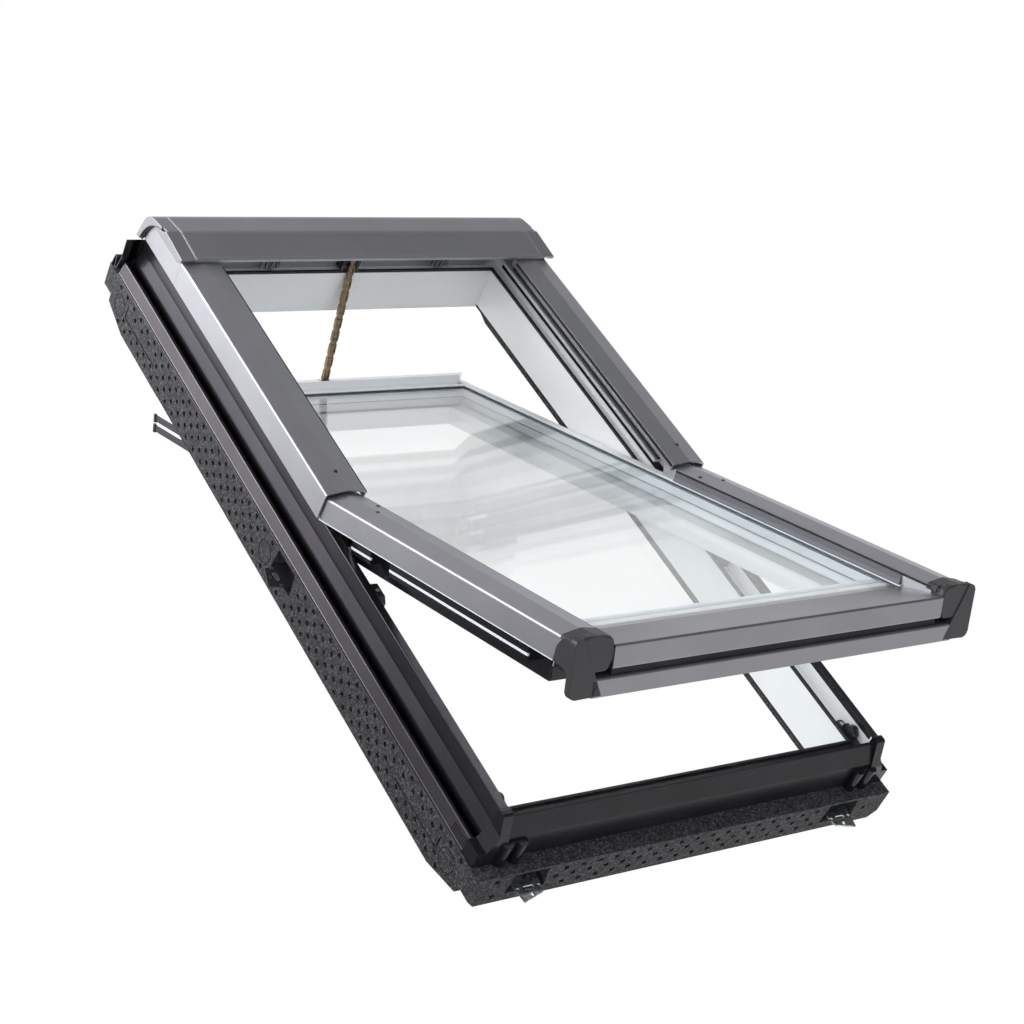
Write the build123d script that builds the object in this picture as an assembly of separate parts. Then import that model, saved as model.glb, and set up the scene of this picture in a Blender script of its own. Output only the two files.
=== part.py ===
from build123d import *
import os
from math import cos, hypot, radians, sin

# Centre-pivot roof window lying in its own roof plane.
# X runs across the window, Y up the slope, Z out of the roof.
# The origin is the middle of the frame on the upper face of the foam blocks.

# Plan of the frame
frame_half_length = 650.0
inner_half_width = 325.0
jamb_depth = 41.0
head_depth = 72.0
sill_depth = 43.0
pivot_y = -78.0
pivot_z = 67.0
outer_half_width = inner_half_width + jamb_depth
head_inner = frame_half_length - head_depth
sill_inner = -frame_half_length + sill_depth

# Levels of the frame profile
frame_bottom = -29.0
ledge_level = 50.0
upstand_level = 79.0
upstand_offset = 20.0
upstand_thickness = 12.0
upstand_inner = inner_half_width + upstand_offset
upstand_outer = upstand_inner + upstand_thickness
shoulder_rise = 12.0
back_wall_level = 70.0
back_wall_thickness = 12.0
sill_nose_level = 44.0
sill_crest_level = 72.5
sill_crest_inset = 14.5
sill_crest_width = 3.0

# Seals on the frame
gasket_width = 4.0
gasket_height = 5.0
lining_width = 6.0
lining_height = 5.0

# Foam blocks
block_thickness = 26.0
block_end_thickness = 30.0
block_side_depth = 78.0
block_end_depth = 58.0
block_taper = 70.0
block_end_chamfer = 14.0
block_half_width = outer_half_width + block_thickness
block_half_length = frame_half_length + block_end_thickness
mark_radius = 20.0
mark_width = 2.0
mark_depth = 1.5
mark_level = -38.0
mark_end_inset = 38.0
mark_middle_y = 4.0
groove_width = 3.0
groove_depth = 2.0
groove_level = -42.0
groove_near_inset = 195.0
groove_near = frame_half_length - groove_near_inset
groove_far_inset = 65.0
groove_far = frame_half_length - groove_far_inset
groove_leg = 24.0

# Fixing brackets
bracket_half_width = 28.0
bracket_steel = 3.0
bracket_level = -33.0
bracket_height = 26.0
bracket_reach = 58.0
bracket_skew = 10.0
bracket_side_y = -56.0
bracket_end_inset = 68.0
bracket_end_x = outer_half_width - bracket_end_inset
bracket_hole_radius = 3.2
bracket_hole_line = 48.0
bracket_slot_length = 20.0
bracket_slot_radius = 4.0
bracket_slot_line = 37.0
bracket_hole_spread = 18.0
pocket_half_width = 34.0
pocket_slant = 5.0
pocket_low = -42.0
pocket_high = -4.0

# Bent aluminium
metal_thickness = 1.5
bend_radius = 1.4
flange_width = 4.0
ridge_run = 5.0
ridge_level = 22.5
ridge_width = 4.0
channel_fall = 2.0
channel_level = 4.0
channel_width = 7.0
bank_level = 50.0
head_bank_level = 34.0
sill_sheet_foot = 1.0
sill_sheet_overhang = 1.0
sheet_joint = 1.0
corner_length = 24.0
corner_start = corner_length - frame_half_length

# Moulded corner pieces
corner_level = 83.0
corner_nose = 6.0
corner_nose_level = 40.0
corner_crest = 14.0
corner_rounding = 5.0
corner_rim_level = 26.0
corner_rim_width = 14.0
corner_wall = 5.0
corner_shoulder_level = 53.0
boss_radius = 9.0
boss_level = 40.0
boss_first = 20.0
boss_second = 45.0

# Hood over the head
hood_end_inset = 14.0
hood_half_width = outer_half_width - hood_end_inset
hood_cap_width = 26.0
hood_sheet = 2.0
hood_reach = 155.0
hood_front = frame_half_length - hood_reach
hood_front_level = 141.5
hood_lip = 11.0
hood_bead = 5.0
hood_bead_depth = 5.0
hood_bend = 36.0
hood_back_overhang = 7.0
hood_back = frame_half_length + hood_back_overhang
hood_crest_inset = 92.0
hood_crest_level = 151.0
hood_fall_inset = 24.0
hood_fall_level = 139.0
hood_back_level = 64.0
hood_cap_back_level = 82.5
hood_cap_under_inset = 102.0
hood_cap_under_level = 100.0
hood_cap_rounding = 3.0

# Side covers
cover_sheet = 2.0
cover_bend = 4.0
cover_side_gap = 4.0
cover_half_width = outer_half_width + cover_side_gap
cover_width = 70.0
cover_inner = cover_half_width - cover_width
cover_foot = 85.5
cover_edge_level = 132.5
cover_crown_inset = 35.0
cover_crown_x = cover_half_width - cover_crown_inset
cover_crown_level = 139.0
cover_inner_level = 134.0
cover_lip_level = 121.0
cover_joint_offset = 23.0
cover_joint_y = pivot_y + cover_joint_offset
cover_tuck = 11.0
cover_nest = 4.0
cover_drop = 3.5
lower_cover_foot = 92.5
lower_cover_gap = 4.0
screw_head_radius = 3.5
screw_head_proud = 0.8
screw_head_depth = 4.0
cover_screw_inset = 43.0
cover_screw_y = cover_joint_y + cover_screw_inset
lower_screw_inset = 86.0
lower_screw_pitch = 33.0
lower_screw_spread = 21.0
lower_screw_y = cover_joint_y - lower_screw_inset

# Carrier under the upper covers
carrier_inset = 33.0
carrier_start = cover_joint_y + carrier_inset
carrier_end_inset = 46.0
carrier_end = head_inner - carrier_end_inset
carrier_foot = 6.0
carrier_web = 6.0
carrier_overlap = 9.0
carrier_inner = cover_inner - carrier_overlap
carrier_flange_low = 112.0
carrier_flange = 6.0
seal_overlap = 4.0
seal_inner = cover_inner - seal_overlap
seal_width = 6.0

# Pivot
open_angle = 25.3
pin_radius = 6.0
pin_clearance = 0.05
hinge_inner_gap = 5.0
hinge_inner = inner_half_width + hinge_inner_gap
hinge_outer_gap = 2.0
hinge_outer = upstand_inner - hinge_outer_gap
hinge_half_width = 20.0
hinge_plate = 4.0
hinge_plate_radius = 18.0
pin_end_gap = 2.0
gasket_gap = 30.0

# Fittings on the jamb ledge
fitting_inner_gap = 6.0
fitting_inner = inner_half_width + fitting_inner_gap
fitting_outer_gap = 1.0
fitting_outer = upstand_inner - fitting_outer_gap
keeper_inset = 20.0
keeper_length = 64.0
keeper_start = keeper_inset - frame_half_length
keeper_end = keeper_start + keeper_length
keeper_plate = 4.0
keeper_boss_inset = 24.0
keeper_boss_length = 22.0
keeper_boss_start = keeper_start + keeper_boss_inset
keeper_boss_end = keeper_boss_start + keeper_boss_length
keeper_boss_height = 24.0
stop_offset = 106.0
stop_length = 42.0
stop_end = pivot_y - stop_offset
stop_start = stop_end - stop_length
stop_height = 28.0
stop_slope = 8.0
notch_clearance = 5.0

# Head fittings and drive
panel_end_gap = 7.0
panel_half_width = inner_half_width - panel_end_gap
panel_setback = 18.0
panel_front = head_inner + panel_setback
panel_thickness = 4.0
panel_level = 132.0
gusset_inset = 56.0
gusset_x = panel_half_width - gusset_inset
housing_inset = 88.0
housing_half_width = panel_half_width - housing_inset
housing_gap = 2.0
housing_back = frame_half_length - back_wall_thickness - housing_gap
housing_level = 124.0
housing_rounding = 6.0
guide_x = 13.0
guide_half_width = 18.0
guide_cheek = 6.0
guide_overhang = 1.0
guide_front = head_inner - guide_overhang
guide_low = 56.0
guide_high = 112.0
guide_back = 4.0
catch_inset = 146.0
catch_x = panel_half_width - catch_inset
catch_half_width = 22.0
catch_depth = 12.0
catch_low = 74.0
catch_high = 98.0
catch_rounding = 5.0
chain_pitch_count = 20
chain_start_y = guide_front
chain_start_z = 92.0
chain_plate_height = 9.0
chain_plate = 1.5
chain_inner_offset = 3.0
chain_outer_offset = 4.6
chain_pin_radius = 2.2
chain_pin_half = 6.4
chain_pin_sides = 8

# Sash profile, in the closed position
sash_side_gap = 5.0
sash_half_width = inner_half_width - sash_side_gap
sash_depth = 58.0
sash_head_gap = 6.0
sash_top = head_inner - sash_head_gap
sash_sill_gap = 5.0
sash_foot = sill_inner + sash_sill_gap
sash_low = 35.0
sash_high = 110.0
rebate_wall = 12.0
rebate_level = 68.0
top_rail_wall = 34.0
rail_crest = 124.0
rail_crest_width = 16.0

# Glass
pane_thickness = 4.0
spacer_height = 14.0
glass_gap = 2.0
spacer_width = 12.0
spacer_inset = 2.0
pane_overhang = 38.0
pane_overhang_end = sash_foot - pane_overhang
glazing_width = 8.0
glazing_height = 3.5

# Lip around the lower half of the sash
lip_side_gap = 2.0
lip_outer = upstand_inner - lip_side_gap
lip_low = 56.0
lip_high = 93.0
lip_start_offset = 47.0
lip_start = pivot_y - lip_start_offset
lip_end_inset = 27.0
lip_end = sash_foot + lip_end_inset
lip_bottom_depth = 26.0
lip_bottom_end = sash_foot - lip_bottom_depth
lip_bottom_inset = 2.0
lip_bottom_half_width = sash_half_width - lip_bottom_inset
skin_thickness = 3.0
skin_end_gap = 2.0
strip_depth = 3.0
strip_height = 4.0
strip_gap = 0.2
strip_low_offset = 7.0
strip_pitch = 16.0
strip_low_level = lip_low + strip_low_offset
strip_high_level = strip_low_level + strip_pitch
profile_depth = 2.0
profile_height = 12.0
profile_low_offset = 11.0
profile_pitch = 18.0
profile_low_level = sash_low + profile_low_offset
profile_high_level = profile_low_level + profile_pitch
profile_start_offset = 48.0
profile_start = pivot_y + profile_start_offset
profile_end_inset = 7.0
profile_end = sash_top - profile_end_inset

# Lower end of the sash
lower_cover_overhang = 76.0
lower_cover_end = sash_foot - lower_cover_overhang
front_overhang = 102.0
front_y = sash_foot - front_overhang
front_sheet = 2.5
front_bend = 3.0
bottom_cover_offset = 21.0
bottom_cover_start = sash_foot - bottom_cover_offset
bottom_cover_start_level = 110.6
bottom_cover_level = 123.0
bottom_cover_foot = 88.7
bottom_cover_return_offset = 43.0
bottom_cover_return = sash_foot - bottom_cover_return_offset
bottom_cover_gap = 0.5
bottom_cover_half_width = cover_inner + cover_nest - bottom_cover_gap
apron_top = 78.0
apron_low = 52.0
apron_carrier_setback = 6.0
apron_carrier_front = front_y + apron_carrier_setback
apron_carrier_half_width = cover_inner
cap_overhang = 16.0
cap_front = front_y - cap_overhang
cap_side_gap = 1.0
cap_outer_x = cover_half_width - cap_side_gap
cap_low = 54.0
cap_low_width = 33.0
cap_low_inner = cap_outer_x - cap_low_width
apron_gap = 3.0
apron_half_width = cap_low_inner - apron_gap
cap_high_width = 19.0
cap_high_inner = cap_outer_x - cap_high_width
cap_high = 135.0
cap_edge_inset = 7.0
cap_edge_drop = 6.0
cap_inner_x = cover_inner + cover_nest
cap_inner_high = 133.0
cap_inner_height = 43.0
cap_inner_low = cap_inner_high - cap_inner_height
cap_inner_corner = 12.0
cap_inner_setback = 4.0
cap_rounding = 4.0

# Chain bracket on the sash
ear_thickness = 3.0
fork_half_width = 10.0
fork_recess = 11.0
fork_proud = 2.0
fork_start = sash_top - fork_recess
fork_end = sash_top + fork_proud
fork_base = 3.0
fork_height = 20.0
fork_level = rail_crest
fork_low = fork_level - fork_height
fork_pin_inset = 3.5
fork_pin_drop = 8.0
fork_pin_y = sash_top - fork_pin_inset
fork_pin_z = fork_level - fork_pin_drop


def outline(*points):
    return make_face(Polyline(*points, close=True))


def parallel(points, distance):
    corners = [Vector(*point) for point in points]
    runs = [(end - start).normalized() for start, end in zip(corners, corners[1:])]
    sides = [Vector(-run.Y, run.X) for run in runs]
    sides = [sides[0]] + sides + [sides[-1]]
    moved = []
    for corner, before, after in zip(corners, sides, sides[1:]):
        middle = before + after
        moved.append(corner + middle * (2 * distance / middle.dot(middle)))
    return moved


def sheet(points, radius, thickness):
    near = FilletPolyline(*points, radius=radius)
    far_points = parallel(points, thickness)
    far = FilletPolyline(*far_points, radius=radius)
    first = Line(points[0], far_points[0])
    last = Line(points[-1], far_points[-1])
    return make_face(near.edges() + far.edges() + first.edges() + last.edges())


def along_x(face, start, end):
    plane = Plane(origin=(start, 0, 0), x_dir=(0, 1, 0), z_dir=(1, 0, 0))
    return extrude(plane * face, amount=end - start, dir=(1, 0, 0))


def along_y(face, start, end):
    plane = Plane(origin=(0, start, 0), x_dir=(1, 0, 0), z_dir=(0, -1, 0))
    return extrude(plane * face, amount=end - start, dir=(0, 1, 0))


def along_z(face, start, end):
    return extrude(Pos(0, 0, start) * face, amount=end - start)


def bar(x_start, x_end, y_start, y_end, z_start, z_end):
    face = outline((x_start, y_start), (x_end, y_start), (x_end, y_end), (x_start, y_end))
    return along_z(face, z_start, z_end)


def ring(half_width, low, high, width, z_start, z_end):
    outside = bar(-half_width, half_width, low, high, z_start, z_end)
    inside = bar(width - half_width, half_width - width, low + width, high - width, z_start, z_end)
    return outside - inside


def mirrored(shape):
    return mirror(shape, about=Plane.YZ)


def flipped(shape):
    return mirror(shape, about=Plane.XZ)


def opened(shape):
    return shape.rotate(Axis((0, pivot_y, pivot_z), (1, 0, 0)), -open_angle)


def group(*shapes):
    return Compound(children=[solid for shape in shapes for solid in shape.solids()])


def both(shape):
    return group(shape, mirrored(shape))


parts = {}


def fixed(name, shape):
    parts[name] = shape


def fixed_pair(name, shape):
    parts[name + "_right"] = shape
    parts[name + "_left"] = mirrored(shape)


def moving(name, shape):
    parts[name] = opened(shape)


def moving_pair(name, shape):
    parts[name + "_right"] = opened(shape)
    parts[name + "_left"] = opened(mirrored(shape))


# White frame, four mitred members
jamb_face = outline(
    (inner_half_width, frame_bottom),
    (outer_half_width, frame_bottom),
    (outer_half_width, 0),
    (upstand_outer, shoulder_rise),
    (upstand_outer, upstand_level),
    (upstand_inner, upstand_level),
    (upstand_inner, ledge_level),
    (inner_half_width, ledge_level),
)
jamb_plan = outline(
    (inner_half_width, sill_inner),
    (outer_half_width, -frame_half_length),
    (outer_half_width, frame_half_length),
    (inner_half_width, head_inner),
)
jamb = along_y(jamb_face, -frame_half_length, frame_half_length)
jamb = jamb & along_z(jamb_plan, frame_bottom, upstand_level)

head_face = outline(
    (head_inner, frame_bottom),
    (frame_half_length, frame_bottom),
    (frame_half_length, back_wall_level),
    (frame_half_length - back_wall_thickness, back_wall_level),
    (frame_half_length - back_wall_thickness, ledge_level),
    (head_inner, ledge_level),
)
head_plan = outline(
    (-inner_half_width, head_inner),
    (inner_half_width, head_inner),
    (outer_half_width, frame_half_length),
    (-outer_half_width, frame_half_length),
)
head = along_x(head_face, -outer_half_width, outer_half_width)
head = head & along_z(head_plan, frame_bottom, back_wall_level)
back_wall_half_width = upstand_inner - sheet_joint
end_view = outline(
    (-outer_half_width, frame_bottom),
    (outer_half_width, frame_bottom),
    (outer_half_width, 0),
    (upstand_outer, shoulder_rise),
    (upstand_outer, upstand_level),
    (back_wall_half_width, upstand_level),
    (back_wall_half_width, back_wall_level),
    (-back_wall_half_width, back_wall_level),
    (-back_wall_half_width, upstand_level),
    (-upstand_outer, upstand_level),
    (-upstand_outer, shoulder_rise),
    (-outer_half_width, 0),
)
end_limit = along_y(end_view, -frame_half_length, frame_half_length)
head = head & end_limit

sill_crest_outer = -frame_half_length + sill_crest_inset
sill_crest_inner = sill_crest_outer + sill_crest_width
sill_face = outline(
    (sill_inner, frame_bottom),
    (-frame_half_length, frame_bottom),
    (-frame_half_length, sill_nose_level),
    (sill_crest_outer, sill_crest_level),
    (sill_crest_inner, sill_crest_level),
    (sill_crest_inner, ledge_level),
    (sill_inner, ledge_level),
)
sill_plan = outline(
    (-inner_half_width, sill_inner),
    (inner_half_width, sill_inner),
    (outer_half_width, -frame_half_length),
    (-outer_half_width, -frame_half_length),
)
sill = along_x(sill_face, -outer_half_width, outer_half_width)
sill = sill & along_z(sill_plan, frame_bottom, sill_crest_level) & end_limit

# Seals: one on the ledge, broken at the pivots, one under the inner edge
seal = ring(
    inner_half_width + gasket_width,
    sill_inner - gasket_width,
    head_inner + gasket_width,
    gasket_width,
    ledge_level,
    ledge_level + gasket_height,
)
seal = seal - bar(
    -outer_half_width,
    outer_half_width,
    pivot_y - gasket_gap,
    pivot_y + gasket_gap,
    ledge_level,
    ledge_level + gasket_height,
)
fixed("frame_gasket", group(seal))
fixed(
    "lining_gasket",
    ring(
        inner_half_width + lining_width,
        sill_inner - lining_width,
        head_inner + lining_width,
        lining_width,
        frame_bottom - lining_height,
        frame_bottom,
    ),
)


# Foam blocks with bracket pockets, ring marks and parting grooves
def pocket(centre):
    return outline(
        (centre - pocket_half_width, pocket_low),
        (centre + pocket_half_width, pocket_low),
        (centre + pocket_half_width - pocket_slant, pocket_high),
        (centre - pocket_half_width + pocket_slant, pocket_high),
    )


side_view = outline(
    (-frame_half_length, 0),
    (frame_half_length, 0),
    (frame_half_length, -block_end_depth),
    (frame_half_length - block_taper, -block_side_depth),
    (block_taper - frame_half_length, -block_side_depth),
    (-frame_half_length, -block_end_depth),
)
side_block = along_x(side_view, outer_half_width, block_half_width)
side_block = side_block - along_x(pocket(bracket_side_y), outer_half_width, block_half_width)
mark = Circle(mark_radius) - Circle(mark_radius - mark_width)
mark_end = frame_half_length - mark_end_inset
for position in (-mark_end, mark_middle_y, mark_end):
    side_block = side_block - along_x(
        Pos(position, mark_level) * mark, block_half_width - mark_depth, block_half_width
    )
parting = bar(
    block_half_width - groove_depth,
    block_half_width,
    groove_near,
    groove_far,
    groove_level - groove_width,
    groove_level,
)
parting = parting + bar(
    block_half_width - groove_depth,
    block_half_width,
    groove_far - groove_width,
    groove_far,
    groove_level,
    groove_level + groove_leg,
)
side_block = side_block - parting - flipped(parting)
fixed_pair("insulation", side_block)

end_block = bar(
    -block_half_width,
    block_half_width,
    -block_half_length,
    -frame_half_length,
    -block_end_depth,
    0,
)
end_edges = end_block.edges().filter_by(Axis.Y).group_by(Axis.Z)[0]
end_block = chamfer(end_edges, block_end_chamfer)
for centre in (-bracket_end_x, bracket_end_x):
    end_block = end_block - along_y(pocket(centre), -block_half_length, -frame_half_length)
fixed("insulation_bottom", end_block)
fixed("insulation_top", flipped(end_block))


# Steel angle brackets with a slot and three holes in the foot
def angle_bracket():
    foot = outline(
        (-bracket_half_width, 0),
        (bracket_half_width, 0),
        (bracket_half_width - bracket_skew, bracket_reach),
        (bracket_skew - bracket_half_width, bracket_reach - bracket_skew),
    )
    foot = foot - Pos(0, bracket_hole_line) * Circle(bracket_hole_radius)
    foot = foot - Pos(0, bracket_slot_line) * SlotOverall(
        bracket_slot_length, bracket_slot_radius + bracket_slot_radius
    )
    for x in (-bracket_hole_spread, bracket_hole_spread):
        foot = foot - Pos(x, bracket_slot_line) * Circle(bracket_hole_radius)
    leg = bar(
        -bracket_half_width,
        bracket_half_width,
        0,
        bracket_steel,
        bracket_steel,
        bracket_height,
    )
    return along_z(foot, 0, bracket_steel) + leg


bracket = angle_bracket()
side_bracket = Pos(outer_half_width, bracket_side_y, bracket_level) * Rot(0, 0, -90) * bracket
fixed("side_brackets", both(side_bracket))
top_bracket = Pos(bracket_end_x, frame_half_length, bracket_level) * bracket
top_brackets = both(top_bracket)
fixed("end_brackets", group(top_brackets, flipped(top_brackets)))


# Gutter sheets
def gutter(edge, wall, bank, crest):
    ridge = edge - flange_width - ridge_run
    floor = ridge - ridge_width - channel_fall
    return [
        (edge, 0),
        (edge - flange_width, 0),
        (ridge, ridge_level),
        (ridge - ridge_width, ridge_level),
        (floor, channel_level),
        (floor - channel_width, channel_level),
        (wall, bank),
        (wall, crest),
    ]


side_path = gutter(block_half_width, upstand_outer, bank_level, upstand_level)
side_path = side_path + [(upstand_inner, upstand_level)]
side_sheet = sheet(side_path, bend_radius, -metal_thickness)
side_cladding = along_y(side_sheet, corner_start, frame_half_length - sheet_joint)
fixed_pair("side_cladding", side_cladding)
jamb = jamb - side_cladding
parts["frame_right_jamb"] = jamb
parts["frame_left_jamb"] = mirrored(jamb)
fixed("frame_head", head - side_cladding - mirrored(side_cladding))
head_path = gutter(block_half_length, frame_half_length, head_bank_level, back_wall_level)
head_sheet = sheet(head_path, bend_radius, -metal_thickness)
fixed("head_cladding", along_x(head_sheet, -block_half_width, block_half_width))
sill_path = [
    (-frame_half_length, sill_sheet_foot),
    (-frame_half_length, sill_nose_level),
    (sill_crest_outer, sill_crest_level),
    (sill_crest_inner + sill_sheet_overhang, sill_crest_level),
]
sill_sheet = along_x(sheet(sill_path, bend_radius, metal_thickness), -upstand_inner, upstand_inner)
fixed("sill_cladding", sill_sheet)
sill = sill - sill_sheet
fixed("frame_sill", sill)

# Moulded corner pieces, fitted around the frame and the sill sheet
corner_front = -frame_half_length - corner_nose
corner_view = outline(
    (corner_front, 0),
    (corner_start, 0),
    (corner_start, corner_level),
    (corner_start - corner_crest, corner_level),
    (corner_front, corner_nose_level),
)
corner_outer = block_half_width - mark_width
corner_profile = outline(
    (upstand_inner, 0),
    (corner_outer, 0),
    (corner_outer, corner_rim_level),
    (corner_outer - corner_rim_width, corner_rim_level),
    (upstand_outer + corner_wall, corner_shoulder_level),
    (upstand_outer + corner_wall, corner_level),
    (upstand_inner, corner_level),
)
corner = along_x(corner_view, upstand_inner, corner_outer)
corner = corner & along_y(corner_profile, corner_front, corner_start)
corner_edges = corner.edges().filter_by(Axis.X).group_by(Axis.Z)[-1]
corner = fillet(corner_edges, corner_rounding)
corner = corner + bar(
    outer_half_width - boss_second - boss_radius,
    upstand_inner,
    corner_front,
    -frame_half_length,
    0,
    corner_nose_level,
)
for distance in (boss_first, boss_second):
    boss = Pos(outer_half_width - distance, corner_front, 0) * Circle(boss_radius)
    corner = corner + along_z(boss, 0, boss_level)
corner = corner - jamb - sill - sill_sheet
fixed_pair("corner_piece", corner)

# Hood: bead at the front, then one smooth curve over the head
hood_points = [
    (hood_front, hood_front_level + hood_bead),
    (hood_back - hood_crest_inset, hood_crest_level),
    (hood_back - hood_fall_inset, hood_fall_level),
    (hood_back, hood_back_level),
]
hood_curve = FilletPolyline(*hood_points, radius=hood_bend)
hood_bead_face = outline(
    (hood_front, hood_front_level),
    (hood_front + hood_bead_depth, hood_front_level),
    (hood_front + hood_bead_depth, hood_front_level + hood_bead),
    (hood_front, hood_front_level + hood_bead),
)
hood_face = sheet(hood_points, hood_bend, -hood_sheet)
hood = along_x(hood_face, -hood_half_width, hood_half_width)
fixed("hood", hood + along_x(hood_bead_face, -hood_half_width, hood_half_width))
hood_under = Polyline(
    hood_points[-1],
    (hood_back - hood_cap_under_inset, hood_cap_under_level),
    (hood_front + hood_lip, hood_front_level),
    (hood_front, hood_front_level),
    hood_points[0],
)
cap_face = make_face(hood_curve.edges() + hood_under.edges())
hood_cap = along_x(cap_face, hood_half_width, hood_half_width + hood_cap_width)
hood_cap = hood_cap - bar(
    hood_half_width,
    hood_half_width + hood_cap_width,
    hood_front,
    hood_back,
    0,
    hood_cap_back_level,
)
hood_cap_edges = hood_cap.faces().sort_by(Axis.X)[-1].edges().sort_by(Axis.Z)[-1]
fixed("hood_caps", both(fillet(hood_cap_edges, hood_cap_rounding)))


# Side covers: the lower ones nest inside the upper ones at the pivot
def cover_path(nest, drop, foot, lip):
    return [
        (cover_half_width - nest, foot),
        (cover_half_width - nest, cover_edge_level - drop),
        (cover_crown_x, cover_crown_level - drop),
        (cover_inner + nest, cover_inner_level - drop),
        (cover_inner + nest, lip),
    ]


def screw_head(inset, y, drop):
    fall = (cover_crown_level - cover_inner_level) / (cover_crown_x - cover_inner)
    top = cover_crown_level - drop - inset * fall + screw_head_proud
    head_face = Pos(cover_crown_x - inset, y) * Circle(screw_head_radius)
    return along_z(head_face, top - screw_head_depth, top)


upper_sheet = sheet(cover_path(0, 0, cover_foot, cover_lip_level), cover_bend, cover_sheet)
upper_cover = along_y(upper_sheet, cover_joint_y, hood_front + cover_tuck)
upper_screw = screw_head(0, cover_screw_y, 0)
fixed_pair("upper_cover", upper_cover - upper_screw)
fixed("cover_screws", both(upper_screw))

carrier_level = upstand_level + metal_thickness
carrier_face = outline(
    (upstand_outer, carrier_level),
    (upstand_outer, carrier_level + carrier_foot),
    (upstand_inner, carrier_level + carrier_foot),
    (upstand_inner, carrier_flange_low + carrier_flange),
    (carrier_inner, carrier_flange_low + carrier_flange),
    (carrier_inner, carrier_flange_low),
    (upstand_inner - carrier_web, carrier_flange_low),
    (upstand_inner - carrier_web, carrier_level),
)
fixed("cover_carriers", both(along_y(carrier_face, carrier_start, carrier_end)))
upper_seal = bar(
    seal_inner,
    seal_inner + seal_width,
    carrier_start,
    hood_front,
    carrier_flange_low + carrier_flange,
    cover_lip_level,
)
fixed("upper_seals", both(upper_seal))

# Pivot blocks on the ledge
hinge_face = outline(
    (pivot_y - hinge_half_width, ledge_level),
    (pivot_y + hinge_half_width, ledge_level),
    (pivot_y + hinge_half_width, pivot_z),
    (pivot_y - hinge_half_width, pivot_z),
)
hinge_top = Pos(pivot_y, pivot_z) * Circle(hinge_half_width)
hinge_face = hinge_face + hinge_top
hinge_face = hinge_face - outline(
    (pivot_y - hinge_half_width, ledge_level),
    (pivot_y + hinge_half_width, ledge_level),
    (pivot_y + hinge_half_width, 0),
    (pivot_y - hinge_half_width, 0),
)
hinge_face = hinge_face - Pos(pivot_y, pivot_z) * Circle(pin_radius + pin_clearance)
fixed("frame_hinges", both(along_x(hinge_face, hinge_inner, hinge_outer)))

# Keepers and stops on the ledge
keeper = bar(
    fitting_inner,
    fitting_outer,
    keeper_start,
    keeper_end,
    ledge_level,
    ledge_level + keeper_plate,
)
keeper = keeper + bar(
    fitting_inner,
    fitting_outer,
    keeper_boss_start,
    keeper_boss_end,
    ledge_level,
    ledge_level + keeper_boss_height,
)
fixed("lock_keepers", both(keeper))
stop_view = outline(
    (stop_start, ledge_level),
    (stop_end, ledge_level),
    (stop_end, ledge_level + stop_height - stop_slope),
    (stop_end - stop_slope, ledge_level + stop_height),
    (stop_start + stop_slope, ledge_level + stop_height),
    (stop_start, ledge_level + stop_height - stop_slope),
)
stop = along_x(stop_view, fitting_inner, fitting_outer)
fixed("stop_blocks", both(stop))

# Head panel, drive and catches
panel_back = panel_front + panel_thickness
panel = bar(
    -panel_half_width, panel_half_width, panel_front, panel_back, ledge_level, panel_level
)
hood_room_line = Polyline(
    hood_points[-1],
    (hood_back, ledge_level),
    (hood_front, ledge_level),
    hood_points[0],
)
hood_room = make_face(hood_curve.edges() + hood_room_line.edges())
gusset = along_x(hood_room, gusset_x, gusset_x + panel_thickness)
gusset = gusset & bar(
    gusset_x,
    gusset_x + panel_thickness,
    panel_front,
    housing_back,
    ledge_level,
    hood_crest_level,
)
gusset = gusset - hood
fixed("head_panel", panel + gusset + mirrored(gusset))
housing = bar(
    -housing_half_width,
    housing_half_width,
    panel_back,
    housing_back,
    ledge_level,
    housing_level,
)
housing = fillet(housing.edges().filter_by(Axis.X).group_by(Axis.Z)[-1], housing_rounding)
fixed("drive_housing", housing)
guide = bar(
    guide_x - guide_half_width,
    guide_x + guide_half_width,
    guide_front,
    panel_front,
    guide_low,
    guide_high,
)
guide = guide - bar(
    guide_x - guide_half_width + guide_cheek,
    guide_x + guide_half_width - guide_cheek,
    guide_front,
    panel_front - guide_back,
    guide_low,
    guide_high,
)
fixed("drive_guide", guide)
catch = bar(
    catch_x - catch_half_width,
    catch_x + catch_half_width,
    panel_front - catch_depth,
    panel_front,
    catch_low,
    catch_high,
)
catch = fillet(catch.edges().filter_by(Axis.Y), catch_rounding)
fixed("head_catches", both(catch))

# White sash, four mitred members
sash_inner_half = sash_half_width - sash_depth
wall_inner = sash_half_width - rebate_wall
stile_face = outline(
    (sash_inner_half, sash_low),
    (sash_half_width, sash_low),
    (sash_half_width, sash_high),
    (wall_inner, sash_high),
    (wall_inner, rebate_level),
    (sash_inner_half, rebate_level),
)
stile_plan = outline(
    (sash_inner_half, sash_foot + sash_depth),
    (sash_half_width, sash_foot),
    (sash_half_width, sash_top),
    (sash_inner_half, sash_top - sash_depth),
)
stile = along_y(stile_face, sash_foot, sash_top) & along_z(stile_plan, sash_low, sash_high)
parts["sash_right_stile"] = opened(stile)
parts["sash_left_stile"] = opened(mirrored(stile))

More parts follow.
